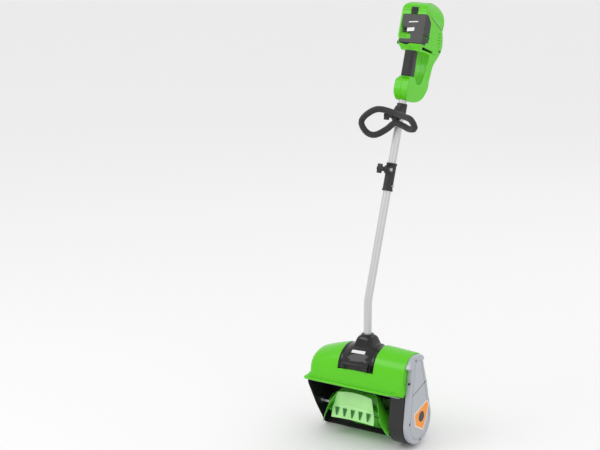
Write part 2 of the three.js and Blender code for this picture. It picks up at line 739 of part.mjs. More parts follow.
// Round bar along the bent lower shaft, in the head's frame, from a height to a place t above the bend.
function bentBar(radius, fromZ, toT, sides = 20) {
  const lean = rad(LEAN);
  const tangent = BEND_RADIUS * Math.tan(lean / 2);
  const stations = [[TUBE_Y, fromZ, 0]];
  const bends = 6;
  for (let i = 0; i <= bends; i++) {
    const turn = (lean * i) / bends;
    const y = TUBE_Y + BEND_RADIUS * (1 - Math.cos(turn));
    stations.push([y, BEND_Z - tangent + BEND_RADIUS * Math.sin(turn), turn]);
  }
  stations.push([TUBE_Y + toT * Math.sin(lean), BEND_Z + toT * Math.cos(lean), lean]);
  return loft(
    stations.map(([y, z, turn]) =>
      Array.from({ length: sides }, (_, i) => {
        const angle = (2 * Math.PI * i) / sides;
        const out = radius * Math.sin(angle);
        return new THREE.Vector3(radius * Math.cos(angle), y + out * Math.cos(turn), z - out * Math.sin(turn));
      }),
    ),
  );
}

const SNAP_T = COUPLER_T - 24;
const SNAP_R = 4;
const LOWER_TUBE_END = COUPLER_T - 1.5;
const UPPER_TUBE_START = COUPLER_T + 1.5;

function lowerTube() {
  const foot = SOCKET_Z - 22;
  const wall = bentBar(TUBE_R, foot, LOWER_TUBE_END).subtract(bentBar(TUBE_R - TUBE_WALL, foot - 2, LOWER_TUBE_END + 2));
  const pinHole = bar("y", 3 + GAP, TUBE_Y, 60, SOCKET_SCREW, 12);
  const lean = rad(LEAN);
  const at = [TUBE_Y + SNAP_T * Math.sin(lean), BEND_Z + SNAP_T * Math.cos(lean)];
  return without(wall, pinHole, bar("x", SNAP_R + GAP, 0, 60, at, 16));
}

// Screw that holds the shaft in its socket, from behind.
function socketScrew() {
  const head = TUBE_Y + SOCKET_TOP_R;
  return union(bar("y", 3, TUBE_Y + 7, head, SOCKET_SCREW, 12), bar("y", 5, head, head + 3.5, SOCKET_SCREW, 12));
}

const COUPLER_R = TUBE_R + GAP + COUPLER_WALL;
const COUPLER_BOLT = [-(TUBE_R + 8), COUPLER_T + 19];

function couplerSleeve() {
  const low = COUPLER_T - COUPLER_LENGTH / 2;
  const high = COUPLER_T + COUPLER_LENGTH / 2;
  const [boltY, boltZ] = COUPLER_BOLT;
  const ears = plate("x", outline([
    [-6, boltZ - 15],
    [boltY - 2, boltZ - 9, 4],
    [boltY - 6, boltZ, 6],
    [boltY - 2, boltZ + 9, 4],
    [-6, boltZ + 15],
  ]), -9, 9);
  const rims = [low, high - 5].map((z) => bar("z", COUPLER_R + 1.2, z, z + 5, [0, 0], 28));
  return without(
    union(bar("z", COUPLER_R, low, high, [0, 0], 28), ears, ...rims),
    bar("z", TUBE_R + GAP, low - 1, high + 1, [0, 0], 28),
    block(-1, 1, -40, -8, COUPLER_T + 2, high + 5),
    bar("x", 3 + GAP, -30, 30, COUPLER_BOLT, 12),
    bar("x", SNAP_R + GAP, 5, 30, [0, SNAP_T], 16),
  );
}

function couplerBolt() {
  return union(bar("x", 3, -26, 10, COUPLER_BOLT, 12), bar("x", 5.5, 9 + GAP, 13.5, COUPLER_BOLT, 6));
}

// Wing knob threaded on a bolt that lies along X, pressing on the face at x = from.
function wingKnob(from, length, at, boltR) {
  const to = from - length;
  const [y, z] = at;
  const hub = bar("x", 6.5, to, from, at, 16);
  const wings = plate("x", outline([
    [y - 3, z - 13, 2],
    [y + 3, z - 13, 2],
    [y + 4, z],
    [y + 3, z + 13, 2],
    [y - 3, z + 13, 2],
    [y - 4, z],
  ]), to, to + length * 0.6);
  return union(hub, wings).subtract(bar("x", boltR + GAP, to + 3, from + 1, at, 12));
}

// Snap button of the shaft joint, held in the tube's wall, with a finger rib on its head.
function snapButton() {
  const face = COUPLER_R + 2;
  return union(
    bar("x", SNAP_R, TUBE_R - 4, face, [0, SNAP_T], 16),
    bar("x", SNAP_R - 1.4, face - 1, face + 1.2, [0, SNAP_T], 12),
  );
}

const upperTube = () => {
  const end = HANDLE_T + TUBE_IN_HANDLE;
  const tube = bar("z", TUBE_R, UPPER_TUBE_START, end, [0, 0], 20);
  return tube.subtract(bar("z", TUBE_R - TUBE_WALL, UPPER_TUBE_START - 1, end + 1, [0, 0], 20));
};

// ---------------------------------------------------------------- loop handle

const LOOP_T = HANDLE_T - LOOP_DROP;
const PIVOT = [-PIVOT_FORWARD, LOOP_T + 6];
const EAR_R = 9.5;
const LUG_HALF = 6.9;

function loopClamp() {
  const [y, z] = PIVOT;
  const low = z + 10;
  const collar = bar("z", TUBE_R + GAP + CLAMP_WALL, low, low + CLAMP_HEIGHT, [0, 0], 28);
  const strap = plate("x", outline([
    [y - 6, z + 2],
    [y + 8, z - 2],
    [y + 8.5, z + 12],
    [-9, z + 12],
    [-9, z + 30],
    [-12, z + 30],
    [y + 1, z + 18, 4],
  ]), -12.3, 12.3);
  const body = union(collar, strap, bar("x", EAR_R, -12.3, 12.3, PIVOT, 24));
  return without(
    body,
    bar("z", TUBE_R + GAP, z - 40, z + 60, [0, 0], 28),
    block(-LUG_HALF - GAP, LUG_HALF + GAP, -60, -TUBE_R - 0.5, z - 30, z + 12),
    bar("x", 3 + GAP, -30, 30, PIVOT, 12),
  );
}

// Centre line of the twisted loop: across the front, round the left lobe, past the pivot,
// round the right lobe. (x, ahead of the tube, up from the loop's level)
const LOOP_POINTS = [
  [9, 41, 11],
  [-50, 50, 15],
  [-88, 52, -22],
  [-69, 46, -50],
  [-47, 40, -54],
  [-18, 31, -34],
  [2, 27, -14],
  [30, 30, -19],
  [57, 40, -27],
  [81, 55, -24],
  [68, 60, -4],
  [40, 51, 4],
];

function loopHandle() {
  const points = LOOP_POINTS.map(([x, ahead, up]) => new THREE.Vector3(x, -ahead, LOOP_T + up));
  const curve = new THREE.CatmullRomCurve3(points, true, "centripetal");
  const steps = 52;
  const sides = 10;
  const frames = curve.computeFrenetFrames(steps, true);
  const positions = [];
  const index = [];
  for (let i = 0; i < steps; i++) {
    const centre = curve.getPointAt(i / steps);
    for (let j = 0; j < sides; j++) {
      const angle = (2 * Math.PI * j) / sides;
      const out = centre.clone().addScaledVector(frames.normals[i], LOOP_BAR_R * Math.cos(angle));
      positions.push(...out.addScaledVector(frames.binormals[i], LOOP_BAR_R * Math.sin(angle)).toArray());
      const a = i * sides + j;
      const b = i * sides + ((j + 1) % sides);
      const c = ((i + 1) % steps) * sides + ((j + 1) % sides);
      const d = ((i + 1) % steps) * sides + j;
      index.push(a, b, c, a, c, d);
    }
  }
  const [y, z] = PIVOT;
  const lug = union(
    bar("x", 8, -LUG_HALF, LUG_HALF, PIVOT, 24),
    block(-LUG_HALF, LUG_HALF, y - 8, y + 3, z - 20, z),
  );
  return union(closed(positions, index), lug).subtract(bar("x", 3 + GAP, -30, 30, PIVOT, 12));
}

function loopBolt() {
  return union(bar("x", 3, -24, 14, PIVOT, 12), bar("x", 5.5, 12.3 + GAP, 17, PIVOT, 6));
}

// ---------------------------------------------------------------- handle housing
// In the handle's own frame: x across, y back from the shaft axis, z up the shaft from the entry.

const SEAM_FRONT = [-20, 240];
const SEAM_BACK = [85, 205.7];

function housingSide() {
  return outline([
    [-13, -6, 5],
    [22, -8, 20],
    [62, 2, 28],
    [90, 36, 30],
    [102, 80, 30],
    [104, 140, 30],
    [96, 184, 24],
    SEAM_BACK,
    SEAM_FRONT,
    [-20.5, 200],
    [-19, 146, 14],
    [-GRIP_CORE, GRIP_HIGH + 5, 4],
    [-GRIP_CORE, GRIP_LOW - 1, 2],
    [-25, GRIP_LOW - 10, 14],
    [-25, 12, 16],
  ]);
}

function housingFront() {
  const half = [
    [15, -10],
    [21, 8, 14],
    [21, 46, 14],
    [16.5, 66, 14],
    [17, 112, 20],
    [33, 142, 14],
    [HOUSING_HALF, 164, 14],
    [HOUSING_HALF, 300],
  ];
  return outline([...half, ...half.toReversed().map(([x, z, r]) => [-x, z, r ?? 0])]);
}

const gripOpening = () =>
  outline([
    [GRIP_CORE, GRIP_LOW + 2],
    [17, 50, 8],
    [30, 43, 14],
    [54, 52, 16],
    [68, 84, 20],
    [68, 116, 16],
    [56, GRIP_HIGH + 1, 14],
    [GRIP_CORE, GRIP_HIGH + 1],
  ]);

const BATTERY_FOOT = BAY_FLOOR + 12;
const TRIGGER_PIVOT = [3, 124];
const LOCK_AT = [-10.5, 151];
const LOCK_R = 5;

const housingOuter = (inset) =>
  plate("x", grown(housingSide(), -inset), -BIG, BIG).intersect(
    plate("y", grown(housingFront(), -inset), -BIG, BIG),
  );

// Set-in panel that wraps from the front face round the right side.
function panelZone(grow) {
  const skin = housingOuter(0).subtract(housingOuter(SKIN + 2 * grow));
  const side = plate("x", grown(outline([
    [-40, 150],
    [4, 150],
    [6, 158],
    [16, 158],
    [12, 214],
    [-6, 229],
    [-40, 231],
  ]), grow), -grow, 60);
  const front = plate("y", grown(outline([
    [-34, 150, 4],
    [-10, 145, 6],
    [0, 150, 3],
    [50, 150],
    [50, 232],
    [-34, 229, 4],
  ]), grow), -60, -12 + grow);
  return skin.intersect(side.add(front));
}

function housing() {
  const batteryHalf = BATTERY_WIDTH / 2 + 1;
  const bayFront = BATTERY_BACK - BATTERY_DEPTH / 2 - 1;
  const bayBack = BATTERY_BACK + BATTERY_DEPTH / 2 + 1;
  const besideGrip = (from, to) => block(from, to, -60, GRIP_CORE + 6, GRIP_LOW + 2, GRIP_HIGH);
  const vents = [0, 1, 2, 3, 4].flatMap((i) => {
    const z = 158 + 8.5 * i;
    const back = 84 - 1.4 * i;
    const slot = plate("x", outline([[back - 16, z], [back, z + 3], [back, z + 6], [back - 16, z + 3]]), 0, 3);
    return [slot.translate([HOUSING_HALF - 2, 0, 0]), slot.translate([-HOUSING_HALF - 1, 0, 0])];
  });
  const knuckles = [-1, 1].map((side) => {
    const [from, to] = side < 0 ? [-24, -12.3] : [12.3, 24];
    const web = block(from, to, 80, HINGE_BACK - 1, HINGE_UP - 14, HINGE_UP - 1.5);
    return bar("x", HINGE_R, from, to, [HINGE_BACK, HINGE_UP], 16).add(web);
  });
  return without(
    union(housingOuter(0), ...knuckles),
    plate("x", gripOpening(), -BIG, BIG),
    besideGrip(GRIP_CORE, 60),
    besideGrip(-60, -GRIP_CORE),
    bar("z", TUBE_R + GAP, -20, TUBE_IN_HANDLE + GAP, [0, 0], 20),
    block(-batteryHalf, batteryHalf, bayFront, bayBack, BAY_FLOOR, 300),
    block(-12.5, 12.5, 76, 95, 62, 124),
    block(-5.8, 5.8, -7.5, 14, 84, 130),
    bar("x", 2.2, -30, 30, TRIGGER_PIVOT, 12),
    bar("x", LOCK_R + GAP, -60, -22, LOCK_AT, 20),
    bar("x", 2.1, -30, 30, [HINGE_BACK, HINGE_UP], 12),
    block(-10 - GAP, 10 + GAP, -40, -15, 228.5, 262),
    panelZone(GAP),
    ...vents,
  );
}

const labelPanel = () => panelZone(0);

function gripOvermold() {
  const low = GRIP_LOW + 2 + GAP;
  const high = GRIP_HIGH - GAP;
  const inner = GRIP_CORE + GAP;
  const section = outline([
    [-GRIP_R, -GRIP_R, 9],
    [GRIP_R, -GRIP_R, 9],
    [GRIP_R, GRIP_R, 9],
    [-GRIP_R, GRIP_R, 9],
  ]);
  const sleeve = plate("z", section, low, high, 1.5);
  const square = outline([[-inner, -inner], [inner, -inner], [inner, inner], [-inner, inner]]);
  const ribs = [0, 1, 2, 3].map((i) =>
    bar("x", 1.3, -30, 30, [GRIP_R + 0.4, 66 + 7 * i], 8),
  );
  return without(
    sleeve,
    plate("z", square, low - 1, high + 1),
    block(-6.4, 6.4, 5, 30, 94, 140),
    ...ribs,
  );
}

function trigger() {
  const [y, z] = TRIGGER_PIVOT;
  const side = plate("x", outline([
    [y - 4, z + 4, 3],
    [y + 13, z + 4, 3],
    [y + 20, z - 8, 6],
    [y + 19, z - 27, 4],
    [y + 13, z - 27, 3],
    [y + 4, z - 20, 3],
    [y - 4, z - 4, 3],
  ]), -5.2, 5.2, 0.8);
  return side.subtract(bar("x", 2.2, -30, 30, TRIGGER_PIVOT, 12));
}

const triggerPin = () => bar("x", 1.9, -GRIP_CORE + 0.5, GRIP_CORE - 0.5, TRIGGER_PIVOT, 12);

const switchBody = () => union(block(-5.2, 5.2, -7, 5, 84.5, 94), block(-2, 2, 4, 8, 86, 92));

function lockButton() {
  return union(
    bar("x", LOCK_R, -HOUSING_HALF - 2, -30, LOCK_AT, 20),
    bar("x", 2.4, -31, -27, LOCK_AT, 12),
  );
}

function controlBoard() {
  const chips = [72, 88, 104].map((z) => block(-8, 8, 80, 84.2, z, z + 9));
  return union(block(-11, 11, 84, 85.6, 66, 120), ...chips);
}

function contactBlock() {
  const fins = [-9, -3, 3, 9].map((x) => block(x - 0.8, x + 0.8, 22, 38, BAY_FLOOR + 8, BATTERY_FOOT + 6));
  return union(block(-16, 16, 18, 42, BAY_FLOOR + GAP, BAY_FLOOR + 9), ...fins);
}

// ---------------------------------------------------------------- battery and lid

const BATTERY_TOP = BATTERY_FOOT + BATTERY_HEIGHT;
const RELEASE_AT = [0, 12];

function batteryCase() {
  const half = BATTERY_WIDTH / 2;
  const front = BATTERY_BACK - BATTERY_DEPTH / 2;
  const back = BATTERY_BACK + BATTERY_DEPTH / 2;
  const section = outline([
    [-half, front, 6],
    [half, front, 6],
    [half, back, 6],
    [-half, back, 6],
  ]);
  const slots = [-9, -3, 3, 9].map((x) => block(x - 1.6, x + 1.6, 20, 40, BATTERY_FOOT - 1, BATTERY_FOOT + 9));
  const seam = BATTERY_TOP - 18;
  const groove = plate("z", grown(section, 2), seam, seam + 1.6).subtract(
    plate("z", grown(section, -1), seam - 1, seam + 3),
  );
  return without(
    plate("z", section, BATTERY_FOOT, BATTERY_TOP, 2),
    groove,
    block(-12.3, 12.3, 5.7, 20.3, BATTERY_TOP - 6, BATTERY_TOP + 5),
    ...slots,
  );
}

const batteryRelease = () =>
  union(
    block(-12, 12, 6, 20, BATTERY_TOP - 3, BATTERY_TOP + 1.5),
    block(-9, 9, 15, 17, BATTERY_TOP, BATTERY_TOP + 3),
  );

const lidSide = () =>
  outline([
    [SEAM_FRONT[0], SEAM_FRONT[1] + GAP * 1.2],
    [SEAM_BACK[0] - 0.6, SEAM_BACK[1] + GAP * 1.2 + 0.4],
    [87, 213],
    [88.5, 228, 10],
    [74, 257, 20],
    [40, 274, 22],
    [4, 269, 20],
    [-16, 257, 10],
    [SEAM_FRONT[0] - 0.5, 246],
  ]);

const lidFront = () =>
  outline([
    [-HOUSING_HALF, 190],
    [HOUSING_HALF, 190],
    [HOUSING_HALF, 251, 16],
    [25, 275, 14],
    [-25, 275, 14],
    [-HOUSING_HALF, 251, 16],
  ]);

function batteryLid() {
  const form = (inset) =>
    plate("x", grown(lidSide(), -inset), -BIG, BIG).intersect(plate("y", grown(lidFront(), -inset), -BIG, BIG));
  const inside = form(LID_WALL);
  const knuckle = union(
    bar("x", HINGE_R, -12, 12, [HINGE_BACK, HINGE_UP], 16),
    block(-12, 12, 84.4, HINGE_BACK + 1.5, HINGE_UP + 2, HINGE_UP + 10),
  );
  const hollow = union(inside, inside.translate([0, 0, -4]), inside.translate([0, 0, -8]));
  return without(
    union(form(0).subtract(hollow), knuckle),
    bar("x", 2.1, -30, 30, [HINGE_BACK, HINGE_UP], 12),
    block(-10 - GAP, 10 + GAP, -40, -18, 230, 255),
  );
}

const hingePin = () => bar("x", 1.8, -24, 24, [HINGE_BACK, HINGE_UP], 12);

// Slide latch in the lid's front wall; its hook reaches down over the housing's front edge.
function lidLatch() {
  const plateFront = block(-10, 10, -22, -18.4, 233, 250);
  const ribs = [238, 242, 246].map((z) => block(-8, 8, -23.4, -21, z, z + 1.6));
  return union(plateFront, ...ribs);
}

// ---------------------------------------------------------------- assembly

const M = MATERIALS;

const head = new THREE.Group();
head.position.y = -SCRAPER_BACK;
head.add(
  piece("head_shell", headShell(), M.green),
  piece("saddle_cover", saddleCover(), M.gloss),
  piece("tube_socket", tubeSocket(), M.gloss),
  piece("chute_wall", chuteWall(), M.black),
  piece("scraper_bar", scraperBar(), M.black),
  piece("left_side_plate", sidePlate(), M.black),
  piece("drive_case", driveCase(), M.black),
  piece("belt_cover", beltCover(), M.silver),
  ...COVER_SCREWS.map((at, i) => piece(`cover_screw_${i + 1}`, coverScrew(at), M.black)),
  piece("left_bearing", bearing(-HEAD_LEFT - 3 + GAP), M.steel),
  piece("right_bearing", bearing(DRIVE_WALL_X + 2 + GAP), M.steel),
  piece("motor_can", motorCan(), M.steel),
  piece("motor_mount", motorMount(), M.black),
  piece("motor_shaft", bar("x", MOTOR_SHAFT_R, DRIVE_WALL_X - 60, PULLEY_X + PULLEY_WIDTH + 2, [MOTOR_Y, MOTOR_Z], 16), M.steel),
  piece("drive_pulley", pulley(DRIVE_PULLEY_R, MOTOR_SHAFT_R, [MOTOR_Y, MOTOR_Z], 20), M.steel),
  piece("driven_pulley", pulley(DRIVEN_PULLEY_R, ROTOR_SHAFT_R, [0, ROTOR_Z], 32), M.black),
  piece("drive_belt", driveBelt(), M.rubber),
  piece("rotor_paddle", rotorPaddle(), M.rotorGreen),
  piece("rotor_shaft", bar("x", ROTOR_SHAFT_R, -HEAD_LEFT - 2, PULLEY_X + PULLEY_WIDTH + 3, [0, ROTOR_Z], 20), M.steel),
  piece("lower_tube", lowerTube(), M.tube),
  piece("socket_screw", socketScrew(), M.steel),
  piece("lower_lead", bentBar(3, SOCKET_Z - 24, COUPLER_T - 14, 8), M.black),
);

const shaft = new THREE.Group();
shaft.position.set(0, TUBE_Y - SCRAPER_BACK, BEND_Z);
shaft.rotation.x = -rad(LEAN);
shaft.add(
  piece("coupler_sleeve", couplerSleeve(), M.black),
  piece("coupler_bolt", couplerBolt(), M.steel),
  piece("coupler_knob", wingKnob(-9 - GAP, 22, COUPLER_BOLT, 3), M.black),
  piece("snap_button", snapButton(), M.black),
  piece("upper_tube", upperTube(), M.tube),
  piece("upper_lead", bar("z", 3, COUPLER_T + 4, HANDLE_T + 40, [0, 0], 8), M.black),
  piece("loop_clamp", loopClamp(), M.black),
  piece("loop_handle", loopHandle(), M.rubber),
  piece("loop_bolt", loopBolt(), M.steel),
  piece("loop_knob", wingKnob(-12.3 - GAP, 24, PIVOT, 3), M.black),
);

const handle = new THREE.Group();
handle.position.z = HANDLE_T;
shaft.add(handle);
const shell = housing();
handle.add(
  piece("handle_shell_left", largest(shell.subtract(block(-GAP / 2, BIG, -BIG, BIG, -BIG, BIG))), M.green),
  piece("handle_shell_right", largest(shell.subtract(block(-BIG, GAP / 2, -BIG, BIG, -BIG, BIG))), M.green),
  piece("grip_overmold", gripOvermold(), M.rubber),
  piece("label_panel", labelPanel(), M.gloss),
  piece("trigger", trigger(), M.black),
  piece("trigger_pin", triggerPin(), M.steel),
  piece("switch_body", switchBody(), M.black),
  piece("lock_button", lockButton(), M.black),
  piece("control_board", controlBoard(), M.board),
  piece("contact_block", contactBlock(), M.copper),
  piece("battery_case", batteryCase(), M.black),
  piece("battery_release", batteryRelease(), M.green),
  piece("battery_lid", batteryLid(), M.green),
  piece("lid_hinge_pin", hingePin(), M.steel),
  piece("lid_latch", lidLatch(), M.black),
);

const shovel = new THREE.Group();
shovel.add(head, shaft);

export default shovel;
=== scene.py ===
"""Looks of the cordless snow shovel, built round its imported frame."""

import json
import math

import bmesh
import bpy
from bpy.props import FloatProperty, FloatVectorProperty, PointerProperty
from bpy.types import Operator, Panel, PropertyGroup
from mathutils import Matrix, Vector

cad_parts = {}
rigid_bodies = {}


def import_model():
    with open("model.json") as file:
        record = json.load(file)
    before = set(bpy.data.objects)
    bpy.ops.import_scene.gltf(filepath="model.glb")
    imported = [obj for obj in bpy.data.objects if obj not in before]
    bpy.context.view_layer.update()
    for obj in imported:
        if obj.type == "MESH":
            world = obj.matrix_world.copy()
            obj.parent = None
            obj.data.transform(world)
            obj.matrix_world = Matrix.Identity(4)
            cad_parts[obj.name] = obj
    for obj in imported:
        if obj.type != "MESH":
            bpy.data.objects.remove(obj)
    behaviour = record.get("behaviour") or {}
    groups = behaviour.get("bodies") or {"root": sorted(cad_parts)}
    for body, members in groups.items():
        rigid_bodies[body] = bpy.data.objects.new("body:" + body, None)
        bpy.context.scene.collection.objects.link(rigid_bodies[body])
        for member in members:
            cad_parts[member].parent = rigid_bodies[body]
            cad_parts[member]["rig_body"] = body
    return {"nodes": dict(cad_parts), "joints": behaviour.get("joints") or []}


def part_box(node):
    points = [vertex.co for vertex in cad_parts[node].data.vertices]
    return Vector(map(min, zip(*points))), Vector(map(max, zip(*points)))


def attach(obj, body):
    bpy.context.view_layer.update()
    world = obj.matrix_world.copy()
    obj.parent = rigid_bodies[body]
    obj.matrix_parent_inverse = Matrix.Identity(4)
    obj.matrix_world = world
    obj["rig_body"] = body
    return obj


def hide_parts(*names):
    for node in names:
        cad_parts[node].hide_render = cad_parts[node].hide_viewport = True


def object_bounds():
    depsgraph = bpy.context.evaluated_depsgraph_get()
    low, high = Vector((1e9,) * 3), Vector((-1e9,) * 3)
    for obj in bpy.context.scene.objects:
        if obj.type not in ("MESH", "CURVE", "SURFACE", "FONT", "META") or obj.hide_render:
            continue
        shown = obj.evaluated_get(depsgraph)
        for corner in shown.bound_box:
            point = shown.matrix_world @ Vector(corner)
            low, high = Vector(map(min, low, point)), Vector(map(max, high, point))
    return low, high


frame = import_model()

bl_info = {
    "name": "Cordless snow shovel",
    "version": (1, 0, 0),
    "blender": (4, 5, 0),
    "location": "View3D > Sidebar > Shovel",
    "description": "Builds the finish, fittings and studio of the cordless snow shovel",
    "category": "Object",
}

MM = 0.001
CAD_LOW, CAD_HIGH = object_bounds()
JOINTS = {joint["name"]: joint for joint in frame["joints"]}

# The shaft's own directions: up along it, and square to it towards the back.
ALONG = Vector(JOINTS["shaft_slide"]["axis"]).normalized()
BACK = Vector((0, ALONG.z, -ALONG.y))

# The foot of the grip housing, found from the lid's hinge.
LID_HINGE = Vector(JOINTS["lid_swing"]["pos_m"])
HINGE_BACK = 90 * MM
HINGE_UP = 207 * MM
HANDLE_FOOT = LID_HINGE - BACK * HINGE_BACK - ALONG * HINGE_UP

ROTOR_AXIS = Vector(JOINTS["rotor_spin"]["pos_m"])
COVER_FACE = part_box("belt_cover")[1].x

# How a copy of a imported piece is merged, rounded and shaded, and the made pieces shaded.
MERGE_UNDER = 1e-6
ROUNDED_FROM = math.radians(38)
ROUNDING_STEPS = 2
NORMAL_WEIGHT = 60
SMOOTH_UNDER = math.radians(33)
HOUSING_SMOOTH_UNDER = math.radians(21)
PANEL_SMOOTH_UNDER = math.radians(6)
ROTOR_SMOOTH_UNDER = math.radians(40)
SCOOP_SMOOTH_UNDER = math.radians(35)
SOCKET_SMOOTH_UNDER = math.radians(40)

# How close to the set-in panel a face's middle and its corners are when it only covers the panel.
COVERING_MIDDLE = 0.06 * MM
COVERING_CORNER = 1.2 * MM

# Films laid on a surface: how far they stand out, and the share of that by which they reach in.
FILM_PROUD = 0.2 * MM
FILM_SUNK = 0.2
# Films stacked on the belt cover's flat face: the first one's lift, each one's step and its thickness.
DECAL_LIFT = 0.02 * MM
DECAL_STEP = 0.1 * MM
DECAL_THICKNESS = 0.12 * MM

# The rotor's blades: the half length of their straight middle, how far the ends are drawn round,
# and the share of their length that is kept.
STRAIGHT_HALF = 59 * MM
END_TWIST = 26
LENGTH_KEPT = 0.87
# Each scoop face, along its profile: degrees round the axis, radius and half width in millimetres.
SCOOP_PROFILE = (
    (127, 69, 56), (134, 62, 58), (142, 56, 60), (151, 52, 62), (160, 50, 64),
    (164, 51.5, 65), (168, 50, 66), (178, 51, 67), (188, 54, 68), (197, 59, 68),
)
# In millimetres: its shift along the rotor, its wall and the crown in its middle. Its ends are
# swept back by some degrees.
SCOOP_SHIFT = 4
SCOOP_WALL = 2.4
SCOOP_CROWN = 1.6
SCOOP_SWEEP = 5
SCOOP_COLUMNS = 14
# The pockets in a row on the scoop face: their taper in the same three measures as its profile,
# and the pitch and heights in millimetres.
POCKET_PROFILE = ((170, 52.2, 6.5), (181, 54, 4.5), (192, 58, 1.6))
POCKET_COUNT = 5
POCKET_PITCH = 25
POCKET_FLOOR, POCKET_TOP = 0.2, 1.0

# The socket's cone, from its foot over the neck's lip and down inside: rise from its top,
# half width and corner radius in millimetres.
SOCKET_RINGS = (
    (-46, 34, 9), (-44, 34.5, 9), (-30, 31, 10), (-8, 24, 11),
    (-3.5, 21.5, 12), (-1, 18.5, 13), (0, 17.8, 14), (0.4, 16.8, 14),
    (3.2, 16.6, 14), (3.8, 15.8, 14), (3.8, 12.4, 12), (0, 12.2, 12),
)
CORNER_STEPS = 8

# The belt cover's plain decal, in millimetres behind the rotor's axis and above the ground.
PATCH = ((42, 126), (-32, 103), (-25, 67), (19, 43), (34, 68), (51, 106))
PATCH_BORDER = 3
DISC_MIDDLE = (9, 86)
DISC_RADIUS = 15
DISC_POINTS = 28
COVER_LINE = ((34.8, 182), (34, 184.4), (-43.2, 160.4), (-44, 158))

# Camera and studio.
CAMERA_PLACE = (2.2215, -3.8170, 1.7374)
CAMERA_TILT = math.radians(75.5)
CAMERA_TURN = math.radians(32.9)
SENSOR_WIDTH = 36
LIT_POINT = (0, 0, 0.6)
# Each light's name, place, width and the setting that holds its power.
LIGHTS = (
    ("key", (-1.7, -2.4, 2.9), 1.8, "key_power"),
    ("fill", (3.2, -1.4, 1.6), 1.6, "fill_power"),
    ("rear", (0.5, 2.6, 2.8), 1.6, "fill_power"),
)
FLOOR_GAP = 0.4 * MM
FLOOR_TONE = 0.94
FLOOR_ROUGHNESS = 0.65
WORLD_STRENGTH = 0.88


def in_handle(across, back, up):
    """A place from millimetres across, behind and above the grip housing's foot."""
    place = HANDLE_FOOT + BACK * (back * MM) + ALONG * (up * MM)
    return Vector((across * MM, place.y, place.z))


# ------------------------------------------------------------------ settings


class ShovelFinish(PropertyGroup):
    """Colours and surface sizes of the shovel's mouldings and metal."""

    shell_green: FloatVectorProperty(
        name="Shell green", description="Gloss green of the mouldings",
        subtype="COLOR", size=3, min=0, max=1, default=(0.10, 0.60, 0.0),
    )
    rotor_green: FloatVectorProperty(
        name="Rotor green", description="Clear green of the rotor",
        subtype="COLOR", size=3, min=0, max=1, default=(0.12, 0.66, 0.03),
    )
    mould_black: FloatVectorProperty(
        name="Mould black", description="Satin black of the cases",
        subtype="COLOR", size=3, min=0, max=1, default=(0.011, 0.011, 0.012),
    )
    cover_silver: FloatVectorProperty(
        name="Cover silver", description="Silver grey of the belt cover",
        subtype="COLOR", size=3, min=0, max=1, default=(0.44, 0.46, 0.50),
    )
    tube_silver: FloatVectorProperty(
        name="Tube silver", description="Anodised shaft tubes",
        subtype="COLOR", size=3, min=0, max=1, default=(0.60, 0.60, 0.61),
    )
    edge_round: FloatProperty(
        name="Edge rounding", description="Rounding of the mouldings' edges",
        subtype="DISTANCE", unit="LENGTH", min=0.0001, max=0.003, default=0.0009,
    )
    grain_depth: FloatProperty(
        name="Grain depth", description="Height of the fine mould grain",
        min=0, max=1, default=0.16,
    )


class ShovelFittings(PropertyGroup):
    """Sizes of the housing's screws, and how the rotor stands."""

    screw_radius: FloatProperty(
        name="Screw radius", description="Radius of the housing screws' heads",
        subtype="DISTANCE", unit="LENGTH", min=0.001, max=0.006, default=0.0028,
    )
    screw_depth: FloatProperty(
        name="Screw height", description="Height of a screw's head",
        subtype="DISTANCE", unit="LENGTH", min=0.0005, max=0.004, default=0.0016,
    )
    rotor_phase: FloatProperty(
        name="Rotor phase", description="Degrees the blades stand turned about the rotor's axis",
        min=-180, max=180, default=82,
    )


class ShovelStage(PropertyGroup):
    """Camera and studio."""

    lens: FloatProperty(
        name="Lens", description="Focal length", unit="CAMERA", min=20, max=200, default=100.4,
    )
    floor_size: FloatProperty(
        name="Floor size", description="Width of the floor",
        subtype="DISTANCE", unit="LENGTH", min=2, max=40, default=20,
    )
    key_power: FloatProperty(
        name="Key light", description="Power of the large soft light", min=1, max=2000, default=24,
    )
    fill_power: FloatProperty(
        name="Fill light", description="Power of the fill light", min=1, max=2000, default=8,
    )


# ------------------------------------------------------------------ shader groups


def group_sockets(tree, inputs, outputs):
    """A node group's named sockets: name, kind and, for an input that needs one, its default."""
    for name, kind, *default in inputs:
        socket = tree.interface.new_socket(name=name, in_out="INPUT", socket_type=kind)
        if default:
            socket.default_value = default[0]
    for name, kind in outputs:
        tree.interface.new_socket(name=name, in_out="OUTPUT", socket_type=kind)


def noise(tree, place, detail, scale=None):
    """A noise texture read at a place; its scale is left to be linked where none is given."""
    texture = tree.nodes.new("ShaderNodeTexNoise")
    texture.inputs["Detail"].default_value = detail
    if scale is not None:
        texture.inputs["Scale"].default_value = scale
    tree.links.new(place, texture.inputs["Vector"])
    return texture


def worked_out(tree, operation, *terms, clamp=False):
    """The result of a Math node whose terms are numbers or other nodes' outputs."""
    node = tree.nodes.new("ShaderNodeMath")
    node.operation = operation
    node.use_clamp = clamp
    for socket, term in zip(node.inputs, terms):
        if isinstance(term, (int, float)):
            socket.default_value = term
        else:
            tree.links.new(term, socket)
    return node.outputs[0]


def brightened(tree, colour, factor):
    """A colour times a factor."""
    node = tree.nodes.new("ShaderNodeVectorMath")
    node.operation = "SCALE"
    tree.links.new(colour, node.inputs[0])
    tree.links.new(factor, node.inputs["Scale"])
    return node.outputs[0]


def spread(tree, value, low, high):
    """A value from 0 to 1 spread over a range."""
    node = tree.nodes.new("ShaderNodeMapRange")
    node.inputs["To Min"].default_value = low
    node.inputs["To Max"].default_value = high
    tree.links.new(value, node.inputs["Value"])
    return node.outputs[0]


